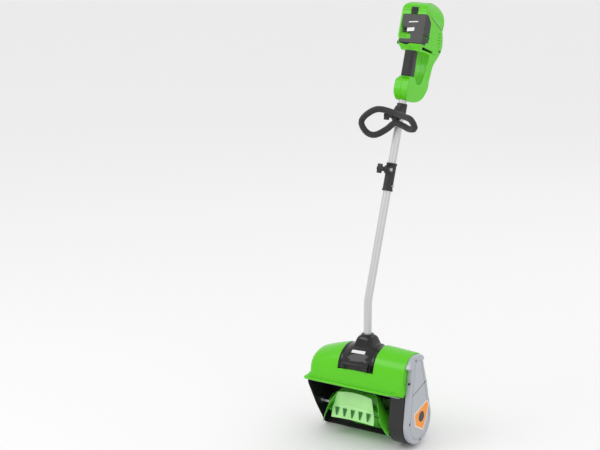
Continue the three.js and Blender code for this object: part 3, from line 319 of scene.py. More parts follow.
SURFACE_OUTPUTS = (
    ("Colour", "NodeSocketColor"), ("Roughness", "NodeSocketFloat"), ("Height", "NodeSocketFloat"),
)
NOISE_MIDDLE = 0.5


def mould_grain():
    """Node group: slow colour and roughness drift with a fine grain, as on moulded plastic."""
    tree = bpy.data.node_groups.get("Mould grain")
    if tree:
        return tree
    tree = bpy.data.node_groups.new("Mould grain", "ShaderNodeTree")
    group_sockets(
        tree,
        (
            ("Colour", "NodeSocketColor", (0.5, 0.5, 0.5, 1)),
            ("Drift", "NodeSocketFloat", 0.06),
            ("Roughness", "NodeSocketFloat", 0.4),
            ("Roughness spread", "NodeSocketFloat", 0.08),
            ("Grain scale", "NodeSocketFloat", 900.0),
        ),
        SURFACE_OUTPUTS,
    )
    nodes, links = tree.nodes, tree.links
    start = nodes.new("NodeGroupInput")
    end = nodes.new("NodeGroupOutput")
    place = nodes.new("ShaderNodeTexCoord").outputs["Object"]
    slow = noise(tree, place, detail=3, scale=9)
    fine = noise(tree, place, detail=2)
    streak = noise(tree, place, detail=4, scale=70)
    links.new(start.outputs["Grain scale"], fine.inputs["Scale"])
    centred = worked_out(tree, "SUBTRACT", slow.outputs["Fac"], NOISE_MIDDLE)
    drift = worked_out(tree, "MULTIPLY_ADD", centred, start.outputs["Drift"], 1.0)
    links.new(brightened(tree, start.outputs["Colour"], drift), end.inputs["Colour"])
    patchy = worked_out(tree, "SUBTRACT", streak.outputs["Fac"], NOISE_MIDDLE)
    rough = worked_out(
        tree, "MULTIPLY_ADD", patchy, start.outputs["Roughness spread"], start.outputs["Roughness"],
        clamp=True,
    )
    links.new(rough, end.inputs["Roughness"])
    links.new(fine.outputs["Fac"], end.inputs["Height"])
    return tree


def drawn_lines():
    """Node group: fine lines drawn upwards, for tube and bar."""
    tree = bpy.data.node_groups.get("Drawn lines")
    if tree:
        return tree
    tree = bpy.data.node_groups.new("Drawn lines", "ShaderNodeTree")
    group_sockets(
        tree,
        (
            ("Colour", "NodeSocketColor", (0.6, 0.6, 0.6, 1)),
            ("Roughness", "NodeSocketFloat", 0.3),
            ("Line scale", "NodeSocketFloat", 500.0),
        ),
        SURFACE_OUTPUTS,
    )
    nodes, links = tree.nodes, tree.links
    start = nodes.new("NodeGroupInput")
    end = nodes.new("NodeGroupOutput")
    place = nodes.new("ShaderNodeTexCoord")
    stretch = nodes.new("ShaderNodeMapping")
    stretch.inputs["Scale"].default_value = (1, 1, 0.03)
    links.new(place.outputs["Object"], stretch.inputs["Vector"])
    lines = noise(tree, stretch.outputs[0], detail=5)
    links.new(start.outputs["Line scale"], lines.inputs["Scale"])
    tone = spread(tree, lines.outputs["Fac"], 0.93, 1.05)
    links.new(brightened(tree, start.outputs["Colour"], tone), end.inputs["Colour"])
    change = spread(tree, lines.outputs["Fac"], -0.05, 0.09)
    rough = worked_out(tree, "ADD", start.outputs["Roughness"], change)
    links.new(rough, end.inputs["Roughness"])
    links.new(lines.outputs["Fac"], end.inputs["Height"])
    return tree


# ------------------------------------------------------------------ materials


def surface(name, group, colour, bump, distance=0.0001, sockets=(), edge=0.0, **values):
    """A Principled material fed by a surface group; the rest are plain socket values."""
    material = bpy.data.materials.get(name)
    if material:
        return material
    material = bpy.data.materials.new(name)
    material.use_nodes = True
    nodes, links = material.node_tree.nodes, material.node_tree.links
    shader = nodes["Principled BSDF"]
    skin = nodes.new("ShaderNodeGroup")
    skin.node_tree = group
    skin.inputs["Colour"].default_value = (*colour, 1)
    for socket, value in dict(sockets).items():
        skin.inputs[socket].default_value = value
    links.new(skin.outputs["Colour"], shader.inputs["Base Color"])
    links.new(skin.outputs["Roughness"], shader.inputs["Roughness"])
    relief = nodes.new("ShaderNodeBump")
    relief.inputs["Strength"].default_value = bump
    relief.inputs["Distance"].default_value = distance
    links.new(skin.outputs["Height"], relief.inputs["Height"])
    links.new(relief.outputs["Normal"], shader.inputs["Normal"])
    if edge > 0:
        soft = nodes.new("ShaderNodeBevel")
        soft.samples = 6
        soft.inputs["Radius"].default_value = edge
        links.new(soft.outputs["Normal"], relief.inputs["Normal"])
    for socket, value in values.items():
        shader.inputs[socket.replace("_", " ")].default_value = value
    material.diffuse_color = (*colour, 1)
    return material


def shell_green():
    """Gloss green moulding."""
    finish = bpy.context.scene.shovel_finish
    return surface(
        "Moulding green", mould_grain(), finish.shell_green, finish.grain_depth,
        sockets={"Roughness": 0.27, "Roughness spread": 0.10, "Drift": 0.10, "Grain scale": 700},
        edge=0.0016, Coat_Weight=0.15, Coat_Roughness=0.12, Specular_IOR_Level=0.35,
    )


def rotor_green():
    """Clear green moulding that lets light through its thin blades."""
    finish = bpy.context.scene.shovel_finish
    return surface(
        "Rotor green", mould_grain(), finish.rotor_green, 0.1,
        sockets={"Roughness": 0.22, "Roughness spread": 0.10, "Drift": 0.35, "Grain scale": 300},
        Transmission_Weight=0.3, IOR=1.45, Coat_Weight=0.3, Coat_Roughness=0.1,
    )


def rotor_painted_light():
    """The rotor's thin scoop face, painted pale green for the light that shines through it."""
    return surface(
        "Rotor pale", mould_grain(), (0.42, 0.86, 0.30), 0.1,
        sockets={"Roughness": 0.2, "Roughness spread": 0.12, "Drift": 0.5, "Grain scale": 120},
        Coat_Weight=0.3, Coat_Roughness=0.08,
    )


def rotor_painted_shade():
    """The rotor's pockets, painted deep green for the shade inside them."""
    return surface(
        "Rotor deep", mould_grain(), (0.012, 0.16, 0.02), 0.1,
        sockets={"Roughness": 0.3, "Roughness spread": 0.1, "Drift": 0.4, "Grain scale": 300},
    )


def mould_black():
    """Satin black moulding with a fine grain."""
    finish = bpy.context.scene.shovel_finish
    return surface(
        "Mould black", mould_grain(), finish.mould_black, 0.3,
        edge=0.001,
        sockets={"Roughness": 0.42, "Roughness spread": 0.14, "Drift": 0.5, "Grain scale": 1400},
    )


def piano_black():
    """Polished black moulding."""
    return surface(
        "Piano black", mould_grain(), (0.006, 0.006, 0.007), 0.04,
        sockets={"Roughness": 0.14, "Roughness spread": 0.08, "Drift": 0.3, "Grain scale": 500},
        edge=0.0014, Coat_Weight=0.15, Coat_Roughness=0.08, Specular_IOR_Level=0.35,
    )


def grip_rubber():
    """Soft grip rubber."""
    return surface(
        "Grip rubber", mould_grain(), (0.014, 0.014, 0.014), 0.7, distance=0.0003,
        sockets={"Roughness": 0.62, "Roughness spread": 0.2, "Drift": 0.5, "Grain scale": 1100},
        Sheen_Weight=0.15, Sheen_Roughness=0.5,
    )


def cover_silver():
    """Silver-grey satin moulding."""
    finish = bpy.context.scene.shovel_finish
    return surface(
        "Cover silver", mould_grain(), finish.cover_silver, 0.2,
        sockets={"Roughness": 0.36, "Roughness spread": 0.10, "Drift": 0.08, "Grain scale": 1600},
        Metallic=0.25, Coat_Weight=0.1, Coat_Roughness=0.3,
    )


def shaft_silver():
    """Anodised tube."""
    finish = bpy.context.scene.shovel_finish
    return surface(
        "Shaft silver", drawn_lines(), finish.tube_silver, 0.12,
        sockets={"Roughness": 0.34, "Line scale": 420}, Metallic=0.55,
    )


def plated_steel():
    """Zinc-plated steel."""
    return surface(
        "Plated steel", drawn_lines(), (0.46, 0.46, 0.47), 0.2,
        sockets={"Roughness": 0.28, "Line scale": 700}, Metallic=1.0,
    )


def plated_black():
    """Blackened screw steel."""
    return surface(
        "Black screw", drawn_lines(), (0.03, 0.03, 0.032), 0.1,
        sockets={"Roughness": 0.3, "Line scale": 700}, Metallic=0.7,
    )


def board_green():
    """Lacquered circuit board."""
    return surface(
        "Board lacquer", mould_grain(), (0.015, 0.13, 0.05), 0.15,
        sockets={"Roughness": 0.35, "Drift": 0.6, "Grain scale": 400},
    )


def printed(name, colour):
    """Printed film for plain marks and decals."""
    return surface(
        name, mould_grain(), colour, 0.05,
        sockets={"Roughness": 0.4, "Roughness spread": 0.06, "Drift": 0.05, "Grain scale": 900},
    )


def film_white():
    """White print of the plain bars and the decal's border."""
    return printed("Film white", (0.80, 0.80, 0.78))


def film_dark():
    """Dark print of the decal's disc and of drawn lines."""
    return printed("Film dark", (0.02, 0.02, 0.02))


# ------------------------------------------------------------------ mesh helpers


def add_object(name, mesh):
    """A new object in the scene at the origin."""
    made = bpy.data.objects.new(name, mesh)
    bpy.context.scene.collection.objects.link(made)
    return made


def settle(made):
    """Turns an object's modifiers into its plain mesh."""
    graph = bpy.context.evaluated_depsgraph_get()
    mesh = bpy.data.meshes.new_from_object(made.evaluated_get(graph))
    made.modifiers.clear()
    old, made.data = made.data, mesh
    bpy.data.meshes.remove(old)


def dress(made, material, body):
    """Material and body of a finished piece."""
    made.data.materials.clear()
    made.data.materials.append(material)
    for face in made.data.polygons:
        face.material_index = 0
    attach(made, body)
    return made


def moulded(node, material, slot, rounding=0.0, smooth_under=SMOOTH_UNDER):
    """A finished copy of a CAD piece: merged, its sharp edges rounded, its curves smooth."""
    mesh = frame["nodes"][node].data.copy()
    shape = bmesh.new()
    shape.from_mesh(mesh)
    bmesh.ops.remove_doubles(shape, verts=shape.verts, dist=MERGE_UNDER)
    shape.to_mesh(mesh)
    shape.free()
    made = add_object("fine_" + node, mesh)
    if rounding > 0:
        bevel = made.modifiers.new("edges", "BEVEL")
        bevel.limit_method = "ANGLE"
        bevel.angle_limit = ROUNDED_FROM
        bevel.width = rounding
        bevel.segments = ROUNDING_STEPS
        bevel.use_clamp_overlap = False
    made.data.shade_smooth()
    made.data.set_sharp_from_angle(angle=smooth_under if rounding == 0 else math.pi)
    weighting = made.modifiers.new("normals", "WEIGHTED_NORMAL")
    weighting.keep_sharp = True
    weighting.weight = NORMAL_WEIGHT
    settle(made)
    dress(made, material, frame["nodes"][node]["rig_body"])
    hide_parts(node)
    return made


def moulded_all(nodes, material, slot, **options):
    """Finished copies of several CAD pieces in one material."""
    return [moulded(node, material, slot, **options) for node in nodes]


def gap_to(made, place):
    """How far a place is from an object's surface."""
    return (made.closest_point_on_mesh(place)[1] - place).length


def cleared(made, panel):
    """Takes off a moulding the faces of no thickness that cover a panel set flush into it."""
    shape = bmesh.new()
    shape.from_mesh(made.data)
    covering = [
        face for face in shape.faces
        if gap_to(panel, face.calc_center_median()) <= COVERING_MIDDLE
        and all(gap_to(panel, vertex.co) < COVERING_CORNER for vertex in face.verts)
    ]
    bmesh.ops.delete(shape, geom=covering, context="FACES")
    shape.to_mesh(made.data)
    shape.free()


def plate_faces(rows, columns):
    """Faces of a closed plate whose points are rows of its outer side, then rows of its inner side."""
    wide = columns + 1
    count = (rows + 1) * wide
    faces = []
    for row in range(rows):
        for column in range(columns):
            a = row * wide + column
            faces.append((a, a + 1, a + wide + 1, a + wide))
            faces.append((a + count, a + wide + count, a + wide + 1 + count, a + 1 + count))
    rim = list(range(wide)) + [row * wide + columns for row in range(1, rows + 1)]
    rim += [rows * wide + column for column in range(columns - 1, -1, -1)]
    rim += [row * wide for row in range(rows - 1, 0, -1)]
    for index, a in enumerate(rim):
        b = rim[(index + 1) % len(rim)]
        faces.append((b, a, a + count, b + count))
    return faces


def closed_mesh(name, points, faces):
    """A mesh from points and faces, its faces turned outwards."""
    mesh = bpy.data.meshes.new(name)
    mesh.from_pydata(points, [], faces)
    shape = bmesh.new()
    shape.from_mesh(mesh)
    bmesh.ops.recalc_face_normals(shape, faces=shape.faces)
    shape.to_mesh(mesh)
    shape.free()
    return mesh


def rectangle(left, right, near, far, height):
    """The four corners of a level rectangle."""
    return [(left, near, height), (right, near, height), (right, far, height), (left, far, height)]


def laid(name, target, corners, direction, material, body, columns=16, rows=3):
    """A thin film that follows a piece: a four-cornered patch sent onto it along a direction."""
    first, second, third, fourth = (Vector(corner) for corner in corners)
    heading = Vector(direction).normalized()
    outer, inner = [], []
    for row in range(rows + 1):
        for column in range(columns + 1):
            low = first.lerp(second, column / columns)
            high = fourth.lerp(third, column / columns)
            start = low.lerp(high, row / rows)
            hit, place = target.ray_cast(start, heading)[:2]
            if not hit:
                raise RuntimeError(f"{name} misses the piece it lies on")
            outer.append(place - heading * FILM_PROUD)
            inner.append(place + heading * FILM_PROUD * FILM_SUNK)
    mesh = closed_mesh(name, outer + inner, plate_faces(rows, columns))
    return dress(add_object(name, mesh), material, body)


def frustum(name, rings, material, body):
    """A closed body lofted through rounded squares: (centre, half width, corner radius) each."""
    quarter_turn = math.pi / 2
    points, faces = [], []
    for centre, half, corner in rings:
        across = (half - corner) * math.sqrt(2)
        for quarter in range(4):
            swing = quarter_turn * quarter
            turn = swing + quarter_turn / 2
            for step in range(CORNER_STEPS + 1):
                angle = swing + quarter_turn * step / CORNER_STEPS
                points.append((
                    centre[0] + across * math.cos(turn) + corner * math.cos(angle),
                    centre[1] + across * math.sin(turn) + corner * math.sin(angle),
                    centre[2],
                ))
    wide = 4 * (CORNER_STEPS + 1)
    for ring in range(len(rings) - 1):
        for step in range(wide):
            a = ring * wide + step
            b = ring * wide + (step + 1) % wide
            faces.append((a, b, b + wide, a + wide))
    faces.append(tuple(range(wide))[::-1])
    faces.append(tuple(range((len(rings) - 1) * wide, len(rings) * wide)))
    mesh = bpy.data.meshes.new(name)
    mesh.from_pydata(points, [], faces)
    mesh.shade_smooth()
    mesh.set_sharp_from_angle(angle=SOCKET_SMOOTH_UNDER)
    return dress(add_object(name, mesh), material, body)


def slab(name, corners, thickness, material, body):
    """A thin flat plate from its outline, thickened along the outline's own normal."""
    shape = bmesh.new()
    face = shape.faces.new([shape.verts.new(point) for point in corners])
    shape.normal_update()
    lift = face.normal * thickness
    raised = bmesh.ops.extrude_face_region(shape, geom=[face])
    moved = [item for item in raised["geom"] if isinstance(item, bmesh.types.BMVert)]
    bmesh.ops.translate(shape, verts=moved, vec=lift)
    bmesh.ops.recalc_face_normals(shape, faces=shape.faces)
    mesh = bpy.data.meshes.new(name)
    shape.to_mesh(mesh)
    shape.free()
    return dress(add_object(name, mesh), material, body)


def decal(name, outline, layer, material):
    """A flat film on the belt cover, from millimetres behind the rotor's axis and above the ground."""
    face = COVER_FACE + DECAL_LIFT + DECAL_STEP * layer
    corners = [Vector((face, ROTOR_AXIS.y + back * MM, up * MM)) for back, up in reversed(outline)]
    return slab(name, corners, DECAL_THICKNESS, material, "head")


def inset(points, distance):
    """A convex outline drawn in by a distance on every side."""
    size = len(points)
    middle = Vector((sum(p[0] for p in points) / size, sum(p[1] for p in points) / size))
    lines = []
    for index in range(size):
        a, b = Vector(points[index]), Vector(points[(index + 1) % size])
        along = (b - a).normalized()
        inward = Vector((-along.y, along.x))
        if inward.dot(middle - a) < 0:
            inward = -inward
        lines.append((a + inward * distance, along))
    moved = []
    for index in range(size):
        (a, u), (b, v) = lines[index - 1], lines[index]
        cross = u.x * v.y - u.y * v.x
        step = ((b.x - a.x) * v.y - (b.y - a.y) * v.x) / cross
        moved.append(tuple(a + u * step))
    return moved


# ------------------------------------------------------------------ geometry nodes

SCREW_SIDES = 24
RECESS_SIDES = 6
RECESS_WIDTH = 0.45
RECESS_LIFT = 0.6


def screw_tree():
    """Geometry Nodes: a round screw head with a six-sided recess at each of the mesh's points."""
    tree = bpy.data.node_groups.get("Screw heads")
    if tree:
        return tree
    tree = bpy.data.node_groups.new("Screw heads", "GeometryNodeTree")
    group_sockets(
        tree,
        (
            ("Points", "NodeSocketGeometry"),
            ("Radius", "NodeSocketFloat", 0.003),
            ("Height", "NodeSocketFloat", 0.0016),
            ("Turn", "NodeSocketRotation"),
            ("Finish", "NodeSocketMaterial"),
        ),
        (("Heads", "NodeSocketGeometry"),),
    )
    nodes, links = tree.nodes, tree.links
    start = nodes.new("NodeGroupInput")
    end = nodes.new("NodeGroupOutput")
    rim = nodes.new("GeometryNodeMeshCylinder")
    rim.inputs["Vertices"].default_value = SCREW_SIDES
    links.new(start.outputs["Radius"], rim.inputs["Radius"])
    links.new(start.outputs["Height"], rim.inputs["Depth"])
    drive = nodes.new("GeometryNodeMeshCylinder")
    drive.inputs["Vertices"].default_value = RECESS_SIDES
    inner = worked_out(tree, "MULTIPLY", start.outputs["Radius"], RECESS_WIDTH)
    links.new(inner, drive.inputs["Radius"])
    links.new(start.outputs["Height"], drive.inputs["Depth"])
    up = nodes.new("ShaderNodeCombineXYZ")
    links.new(worked_out(tree, "MULTIPLY", start.outputs["Height"], RECESS_LIFT), up.inputs["Z"])
    raised = nodes.new("GeometryNodeTransform")
    links.new(drive.outputs["Mesh"], raised.inputs["Geometry"])
    links.new(up.outputs[0], raised.inputs["Translation"])
    cut = nodes.new("GeometryNodeMeshBoolean")
    cut.operation = "DIFFERENCE"
    links.new(rim.outputs["Mesh"], cut.inputs["Mesh 1"])
    links.new(raised.outputs["Geometry"], cut.inputs["Mesh 2"])
    spots = nodes.new("GeometryNodeMeshToPoints")
    links.new(start.outputs["Points"], spots.inputs["Mesh"])
    copies = nodes.new("GeometryNodeInstanceOnPoints")
    links.new(spots.outputs["Points"], copies.inputs["Points"])
    links.new(cut.outputs["Mesh"], copies.inputs["Instance"])
    links.new(start.outputs["Turn"], copies.inputs["Rotation"])
    real = nodes.new("GeometryNodeRealizeInstances")
    links.new(copies.outputs["Instances"], real.inputs["Geometry"])
    coat = nodes.new("GeometryNodeSetMaterial")
    links.new(real.outputs["Geometry"], coat.inputs["Geometry"])
    links.new(start.outputs["Finish"], coat.inputs["Material"])
    links.new(coat.outputs["Geometry"], end.inputs["Heads"])
    return tree


def set_inputs(modifier, **values):
    """Sets a Geometry Nodes modifier's inputs by their sockets' identifiers."""
    names = {
        item.name: item.identifier
        for item in modifier.node_group.interface.items_tree
        if item.item_type == "SOCKET" and item.in_out == "INPUT"
    }
    for name, value in values.items():
        modifier[names[name]] = value


def screws(name, places, direction, material, body):
    """Screw heads at places, facing one way."""
    sizes = bpy.context.scene.shovel_fittings
    mesh = bpy.data.meshes.new(name)
    mesh.from_pydata([tuple(place) for place in places], [], [])
    made = add_object(name, mesh)
    modifier = made.modifiers.new("heads", "NODES")
    modifier.node_group = screw_tree()
    set_inputs(
        modifier,
        Radius=sizes.screw_radius,
        Height=sizes.screw_depth,
        Turn=tuple(direction.to_track_quat("Z", "Y").to_euler()),
        Finish=material,
    )
    settle(made)
    return dress(made, material, body)


# ------------------------------------------------------------------ operators


class SHOVEL_OT_head(Operator):
    """Finishes the head's shell, saddle, socket, chute and scraper."""

    bl_idname = "shovel.head"
    bl_label = "Head"

    def execute(self, context):
        rounding = context.scene.shovel_finish.edge_round
        screw_rounding = rounding * 0.3
        moulded("head_shell", shell_green(), "green_shell")
        moulded("saddle_cover", piano_black(), "gloss_black")
        moulded("tube_socket", piano_black(), "gloss_black")
        moulded("chute_wall", mould_black(), "black_plastic")
        moulded("scraper_bar", grip_rubber(), "black_plastic", rounding)
        moulded("left_side_plate", mould_black(), "black_plastic", rounding)
        moulded("socket_screw", plated_steel(), "steel", screw_rounding)
        self.trim()
        self.socket()
        return {"FINISHED"}

    def trim(self):
        """Grey wear strip under the lip, and the plain bar on the saddle's nose."""
        low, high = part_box("head_shell")
        left, right = low.x + 6 * MM, high.x - 4 * MM
        near, far = low.y + 1.2 * MM, low.y + 5.5 * MM
        lip_under, strip_thickness = 160 * MM, 1.1 * MM
        slab(
            "lip_strip", rectangle(left, right, near, far, lip_under), strip_thickness,
            printed("Strip grey", (0.30, 0.31, 0.32)), "head",
        )
        low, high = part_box("saddle_cover")
        left, right = -22 * MM, 20 * MM
        near, far = low.y + 24 * MM, low.y + 31 * MM
        above = high.z + 20 * MM
        laid(
            "saddle_bar", bpy.data.objects["fine_saddle_cover"], rectangle(left, right, near, far, above),
            (0, 0, -1), film_white(), "head",
        )

    def socket(self):
        """The socket's pyramid with its rounded shoulder and lipped neck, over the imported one."""
        low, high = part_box("tube_socket")
        middle = (low + high) / 2
        rings = [
            ((middle.x, middle.y, high.z + rise * MM), half * MM, corner * MM)
            for rise, half, corner in SOCKET_RINGS
        ]
        frustum("socket_cone", rings, piano_black(), "head")


class SHOVEL_OT_drive_side(Operator):
    """Finishes the drive case and belt cover, with the cover's screws and plain decal."""

    bl_idname = "shovel.drive_side"
    bl_label = "Drive side"

    def execute(self, context):
        rounding = context.scene.shovel_finish.edge_round
        screw_rounding = rounding * 0.4
        moulded("drive_case", mould_black(), "black_plastic", rounding)
        moulded("belt_cover", cover_silver(), "silver_cover", rounding)
        heads = [f"cover_screw_{number}" for number in range(1, 6)]
        moulded_all(heads, plated_black(), "steel", rounding=screw_rounding)
        self.films()
        return {"FINISHED"}

    def films(self):
        """A plain patch of white and orange with one round shape, free of any sign, and a line."""
        turns = [2 * math.pi * step / DISC_POINTS for step in range(DISC_POINTS)]
        back, up = DISC_MIDDLE
        disc = [(back + DISC_RADIUS * math.cos(turn), up + DISC_RADIUS * math.sin(turn)) for turn in turns]
        decal("patch_border", PATCH, 0, film_white())
        decal("patch_field", inset(PATCH, PATCH_BORDER), 1, printed("Film orange", (0.93, 0.30, 0.015)))
        decal("patch_disc", disc, 2, film_dark())
        decal("cover_line", COVER_LINE, 0, film_dark())


class SHOVEL_OT_rotor(Operator):
    """Finishes the scoop rotor, its shaft and its pulley."""

    bl_idname = "shovel.rotor"
    bl_label = "Rotor"

    def execute(self, context):
        paddle = moulded("rotor_paddle", rotor_green(), "rotor_green", smooth_under=ROTOR_SMOOTH_UNDER)
        low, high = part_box("rotor_paddle")
        phase = context.scene.shovel_fittings.rotor_phase
        for vertex in paddle.data.vertices:
            vertex.co = self.turned(vertex.co, low.x, high.x, phase)
        paddle.data.update()
        middle = (low.x + high.x) / 2 / MM + SCOOP_SHIFT
        for side in (0, 180):
            self.scoop(side, middle)
            self.pockets(side, middle)
        moulded("rotor_shaft", plated_steel(), "steel")
        moulded("driven_pulley", mould_black(), "black_plastic")
        return {"FINISHED"}

    def turned(self, place, left, right, phase):
        """A rotor point turned to the blades' rest, with the ends drawn further round."""
        middle, half = (left + right) / 2, (right - left) / 2
        past = max(0.0, (abs(place.x - middle) - STRAIGHT_HALF) / (half - STRAIGHT_HALF))
        turn = Matrix.Rotation(math.radians(phase + END_TWIST * past * past), 3, "X")
        moved = turn @ (place - ROTOR_AXIS) + ROTOR_AXIS
        moved.x = right - (right - place.x) * LENGTH_KEPT
        return moved

    def on_rotor(self, across, degrees, radius):
        """A point from its place along the rotor, its angle round the axis and its radius."""
        angle = math.radians(degrees)
        return ROTOR_AXIS + Vector((
            across * MM - ROTOR_AXIS.x, radius * MM * math.cos(angle), radius * MM * math.sin(angle),
        ))

    def scoop(self, side, middle):
        """One blade's curved scoop face, crowned along its length and swept back at its ends."""
        points = []
        for depth in (0, -SCOOP_WALL):
            for degrees, radius, half_width in SCOOP_PROFILE:
                for column in range(SCOOP_COLUMNS + 1):
                    share = 2 * column / SCOOP_COLUMNS - 1
                    crown = SCOOP_CROWN * (1 - share * share)
                    points.append(self.on_rotor(
                        middle + half_width * share,
                        degrees + side + SCOOP_SWEEP * share * share,
                        radius + crown + depth,
                    ))
        mesh = closed_mesh("scoop", points, plate_faces(len(SCOOP_PROFILE) - 1, SCOOP_COLUMNS))
        mesh.shade_smooth()
        mesh.set_sharp_from_angle(angle=SCOOP_SMOOTH_UNDER)
        dress(add_object(f"scoop_{side}", mesh), rotor_painted_light(), "rotor")

    def pockets(self, side, middle):
        """The row of tapered pockets on one scoop face, laid as thin plates painted dark green for the
        shade in their hollows.
        """
        points, faces = [], []
        for number in range(POCKET_COUNT):
            at = middle + (number - POCKET_COUNT // 2) * POCKET_PITCH
            a = len(points)
            for height in (POCKET_FLOOR, POCKET_TOP):
                for degrees, radius, reach in POCKET_PROFILE:
                    for edge in (-reach, reach):
                        points.append(self.on_rotor(at + edge, degrees + side, radius + height))
            for b in (a, a + 2):
                faces += [(b, b + 1, b + 3, b + 2), (b + 6, b + 8, b + 9, b + 7)]
                faces += [(b, b + 2, b + 8, b + 6), (b + 1, b + 7, b + 9, b + 3)]
            faces += [(a, a + 6, a + 7, a + 1), (a + 4, a + 5, a + 11, a + 10)]
        mesh = bpy.data.meshes.new("pockets")
        mesh.from_pydata(points, [], faces)
        dress(add_object(f"pockets_{side}", mesh), rotor_painted_shade(), "rotor")


class SHOVEL_OT_drive_train(Operator):
    """Finishes the motor, its pulley, the belt and the bearings inside the head."""

    bl_idname = "shovel.drive_train"
    bl_label = "Drive train"

    def execute(self, context):
        moulded("motor_can", plated_steel(), "steel")
        moulded("motor_mount", mould_black(), "black_plastic")
        moulded("motor_shaft", plated_steel(), "steel")
        moulded("drive_pulley", plated_steel(), "steel")
        moulded("drive_belt", grip_rubber(), "belt_rubber")
        moulded_all(("left_bearing", "right_bearing"), plated_steel(), "steel")
        return {"FINISHED"}


class SHOVEL_OT_shaft(Operator):
    """Finishes the two tubes, the leads in them and the snap button."""

    bl_idname = "shovel.shaft"
    bl_label = "Shaft"

    def execute(self, context):
        button_rounding = 0.4 * MM
        moulded_all(("lower_tube", "upper_tube"), shaft_silver(), "shaft_tube")
        moulded_all(("lower_lead", "upper_lead"), grip_rubber(), "black_plastic")
        moulded("snap_button", plated_steel(), "steel", button_rounding)
        return {"FINISHED"}


class SHOVEL_OT_coupler(Operator):
    """Finishes the coupler and its wing knob."""

    bl_idname = "shovel.coupler"
    bl_label = "Coupler"

    def execute(self, context):
        rounding = context.scene.shovel_finish.edge_round
        moulded("coupler_sleeve", mould_black(), "black_plastic")
        moulded("coupler_bolt", plated_steel(), "steel")
        moulded("coupler_knob", mould_black(), "black_plastic", rounding)
        return {"FINISHED"}


class SHOVEL_OT_loop(Operator):
    """Finishes the auxiliary loop, its clamp, bolt and knob."""

    bl_idname = "shovel.loop"
    bl_label = "Loop handle"

    def execute(self, context):
        rounding = context.scene.shovel_finish.edge_round
        moulded("loop_handle", grip_rubber(), "grip_rubber")
        moulded("loop_clamp", mould_black(), "black_plastic")
        moulded("loop_bolt", plated_steel(), "steel")
        moulded("loop_knob", mould_black(), "black_plastic", rounding)
        return {"FINISHED"}


class SHOVEL_OT_handle(Operator):
    """Finishes the grip housing, its panel, trigger, lock button and the parts inside it."""

    bl_idname = "shovel.handle"
    bl_label = "Grip housing"

    def execute(self, context):
        grip_rounding = context.scene.shovel_finish.edge_round * 0.6
        shells = moulded_all(
            ("handle_shell_left", "handle_shell_right"), shell_green(), "green_shell",
            smooth_under=HOUSING_SMOOTH_UNDER,
        )
        moulded("grip_overmold", grip_rubber(), "grip_rubber", grip_rounding)
        panel = moulded("label_panel", piano_black(), "gloss_black", smooth_under=PANEL_SMOOTH_UNDER)
        for shell in shells:
            cleared(shell, panel)
        moulded("trigger", mould_black(), "black_plastic")
        moulded("lock_button", mould_black(), "black_plastic")
        moulded_all(("trigger_pin", "lid_hinge_pin"), plated_steel(), "steel")
        moulded_all(("switch_body", "contact_block"), mould_black(), "black_plastic")
        moulded("control_board", board_green(), "board_green")
        self.marks(panel)
        return {"FINISHED"}

    def marks(self, panel):
        """Plain light bars on the panel, the dark seam under the lid and the right shell's screw."""
        before, slant = -60, 3
        bars = (("panel_bar_upper", -12, 16, 206, 209), ("panel_bar_lower", -14, 8, 181, 191))
        for name, left, right, low, high in bars:
            corners = (
                in_handle(left, before, low), in_handle(right, before, low + slant),
                in_handle(right, before, high + slant), in_handle(left, before, high),
            )
            laid(name, panel, corners, BACK, film_white(), "upper", columns=6)
        beside, width = 60, 1.2
        front, front_up = 6, 230
        rear, rear_up = 76, 207.2
        laid(
            "lid_seam", bpy.data.objects["fine_handle_shell_right"],
            (
                in_handle(beside, front, front_up), in_handle(beside, rear, rear_up),
                in_handle(beside, rear, rear_up + width), in_handle(beside, front, front_up + width),
            ),
            (-1, 0, 0), film_dark(), "upper", rows=1,
        )
        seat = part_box("handle_shell_right")[1].x / MM - 0.6
        places = [in_handle(seat, 92, 150)]
        screws("shell_screws", places, Vector((1, 0, 0)), plated_black(), "upper")


class SHOVEL_OT_battery(Operator):
    """Finishes the lid, its latch, the battery pack and the pack's release."""

    bl_idname = "shovel.battery"
    bl_label = "Battery and lid"

    def execute(self, context):
        rounding = context.scene.shovel_finish.edge_round
        moulded("battery_lid", shell_green(), "green_shell", smooth_under=HOUSING_SMOOTH_UNDER)
        moulded("lid_latch", mould_black(), "black_plastic")
        moulded("battery_case", mould_black(), "black_plastic", rounding)
        moulded("battery_release", shell_green(), "green_shell")
        return {"FINISHED"}


def area_light(name, place, size, power):
    """A soft square light facing the shovel."""
    data = bpy.data.lights.new(name, "AREA")
    data.shape = "SQUARE"
    data.size = size
    data.energy = power
    made = bpy.data.objects.new(name, data)
    made.location = place
    made.rotation_euler = (Vector(LIT_POINT) - Vector(place)).to_track_quat("-Z", "Y").to_euler()
    bpy.context.scene.collection.objects.link(made)


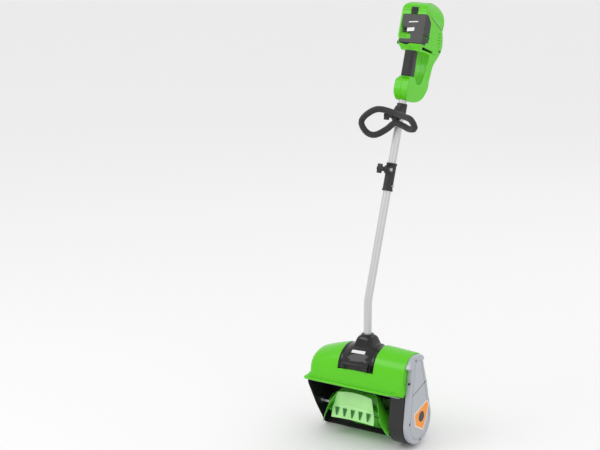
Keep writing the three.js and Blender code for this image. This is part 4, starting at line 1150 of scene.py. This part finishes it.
class SHOVEL_OT_stage(Operator):
    """Lays the plain floor, the soft lights and the camera."""

    bl_idname = "shovel.stage"
    bl_label = "Stage"

    def execute(self, context):
        settings = context.scene.shovel_stage
        self.floor(settings.floor_size / 2)
        world = bpy.data.worlds.new("Studio")
        world.use_nodes = True
        background = world.node_tree.nodes["Background"]
        background.inputs["Color"].default_value = (1, 1, 1, 1)
        background.inputs["Strength"].default_value = WORLD_STRENGTH
        context.scene.world = world
        for name, place, size, setting in LIGHTS:
            area_light(name, place, size, getattr(settings, setting))
        lens = bpy.data.cameras.new("camera")
        lens.lens = settings.lens
        lens.sensor_width = SENSOR_WIDTH
        camera = bpy.data.objects.new("camera", lens)
        camera.location = CAMERA_PLACE
        camera.rotation_euler = (CAMERA_TILT, 0, CAMERA_TURN)
        context.scene.collection.objects.link(camera)
        context.scene.camera = camera
        context.scene.view_settings.view_transform = "Standard"
        return {"FINISHED"}

    def floor(self, half):
        """The plain pale floor just under the shovel."""
        mesh = bpy.data.meshes.new("floor")
        under = CAD_LOW[2] - FLOOR_GAP
        mesh.from_pydata(rectangle(-half, half, -half, half, under), [], [(0, 1, 2, 3)])
        made = add_object("floor", mesh)
        pale = bpy.data.materials.new("Floor white")
        pale.use_nodes = True
        shader = pale.node_tree.nodes["Principled BSDF"]
        shader.inputs["Base Color"].default_value = (FLOOR_TONE, FLOOR_TONE, FLOOR_TONE, 1)
        shader.inputs["Roughness"].default_value = FLOOR_ROUGHNESS
        made.data.materials.append(pale)


class SHOVEL_PT_panel(Panel):
    """Settings and steps of the shovel in the 3D view's sidebar."""

    bl_label = "Snow shovel"
    bl_idname = "SHOVEL_PT_panel"
    bl_space_type = "VIEW_3D"
    bl_region_type = "UI"
    bl_category = "Shovel"

    def draw(self, context):
        scene = context.scene
        for settings in (scene.shovel_finish, scene.shovel_fittings, scene.shovel_stage):
            box = self.layout.box()
            for name in settings.bl_rna.properties.keys():
                if name not in ("rna_type", "name"):
                    box.prop(settings, name)
        for step in STEPS:
            self.layout.operator(step.bl_idname)


STEPS = (
    SHOVEL_OT_head,
    SHOVEL_OT_drive_side,
    SHOVEL_OT_rotor,
    SHOVEL_OT_drive_train,
    SHOVEL_OT_shaft,
    SHOVEL_OT_coupler,
    SHOVEL_OT_loop,
    SHOVEL_OT_handle,
    SHOVEL_OT_battery,
    SHOVEL_OT_stage,
)
CLASSES = (ShovelFinish, ShovelFittings, ShovelStage, *STEPS, SHOVEL_PT_panel)


def register():
    """Registers the settings, the steps and the panel."""
    for item in CLASSES:
        bpy.utils.register_class(item)
    bpy.types.Scene.shovel_finish = PointerProperty(type=ShovelFinish)
    bpy.types.Scene.shovel_fittings = PointerProperty(type=ShovelFittings)
    bpy.types.Scene.shovel_stage = PointerProperty(type=ShovelStage)


def unregister():
    """Takes the settings, the steps and the panel away."""
    del bpy.types.Scene.shovel_stage
    del bpy.types.Scene.shovel_fittings
    del bpy.types.Scene.shovel_finish
    for item in reversed(CLASSES):
        bpy.utils.unregister_class(item)


def main():
    """Builds every step in order."""
    register()
    bpy.ops.shovel.head()
    bpy.ops.shovel.drive_side()
    bpy.ops.shovel.rotor()
    bpy.ops.shovel.drive_train()
    bpy.ops.shovel.shaft()
    bpy.ops.shovel.coupler()
    bpy.ops.shovel.loop()
    bpy.ops.shovel.handle()
    bpy.ops.shovel.battery()
    bpy.ops.shovel.stage()


if __name__ == "__main__":
    main()
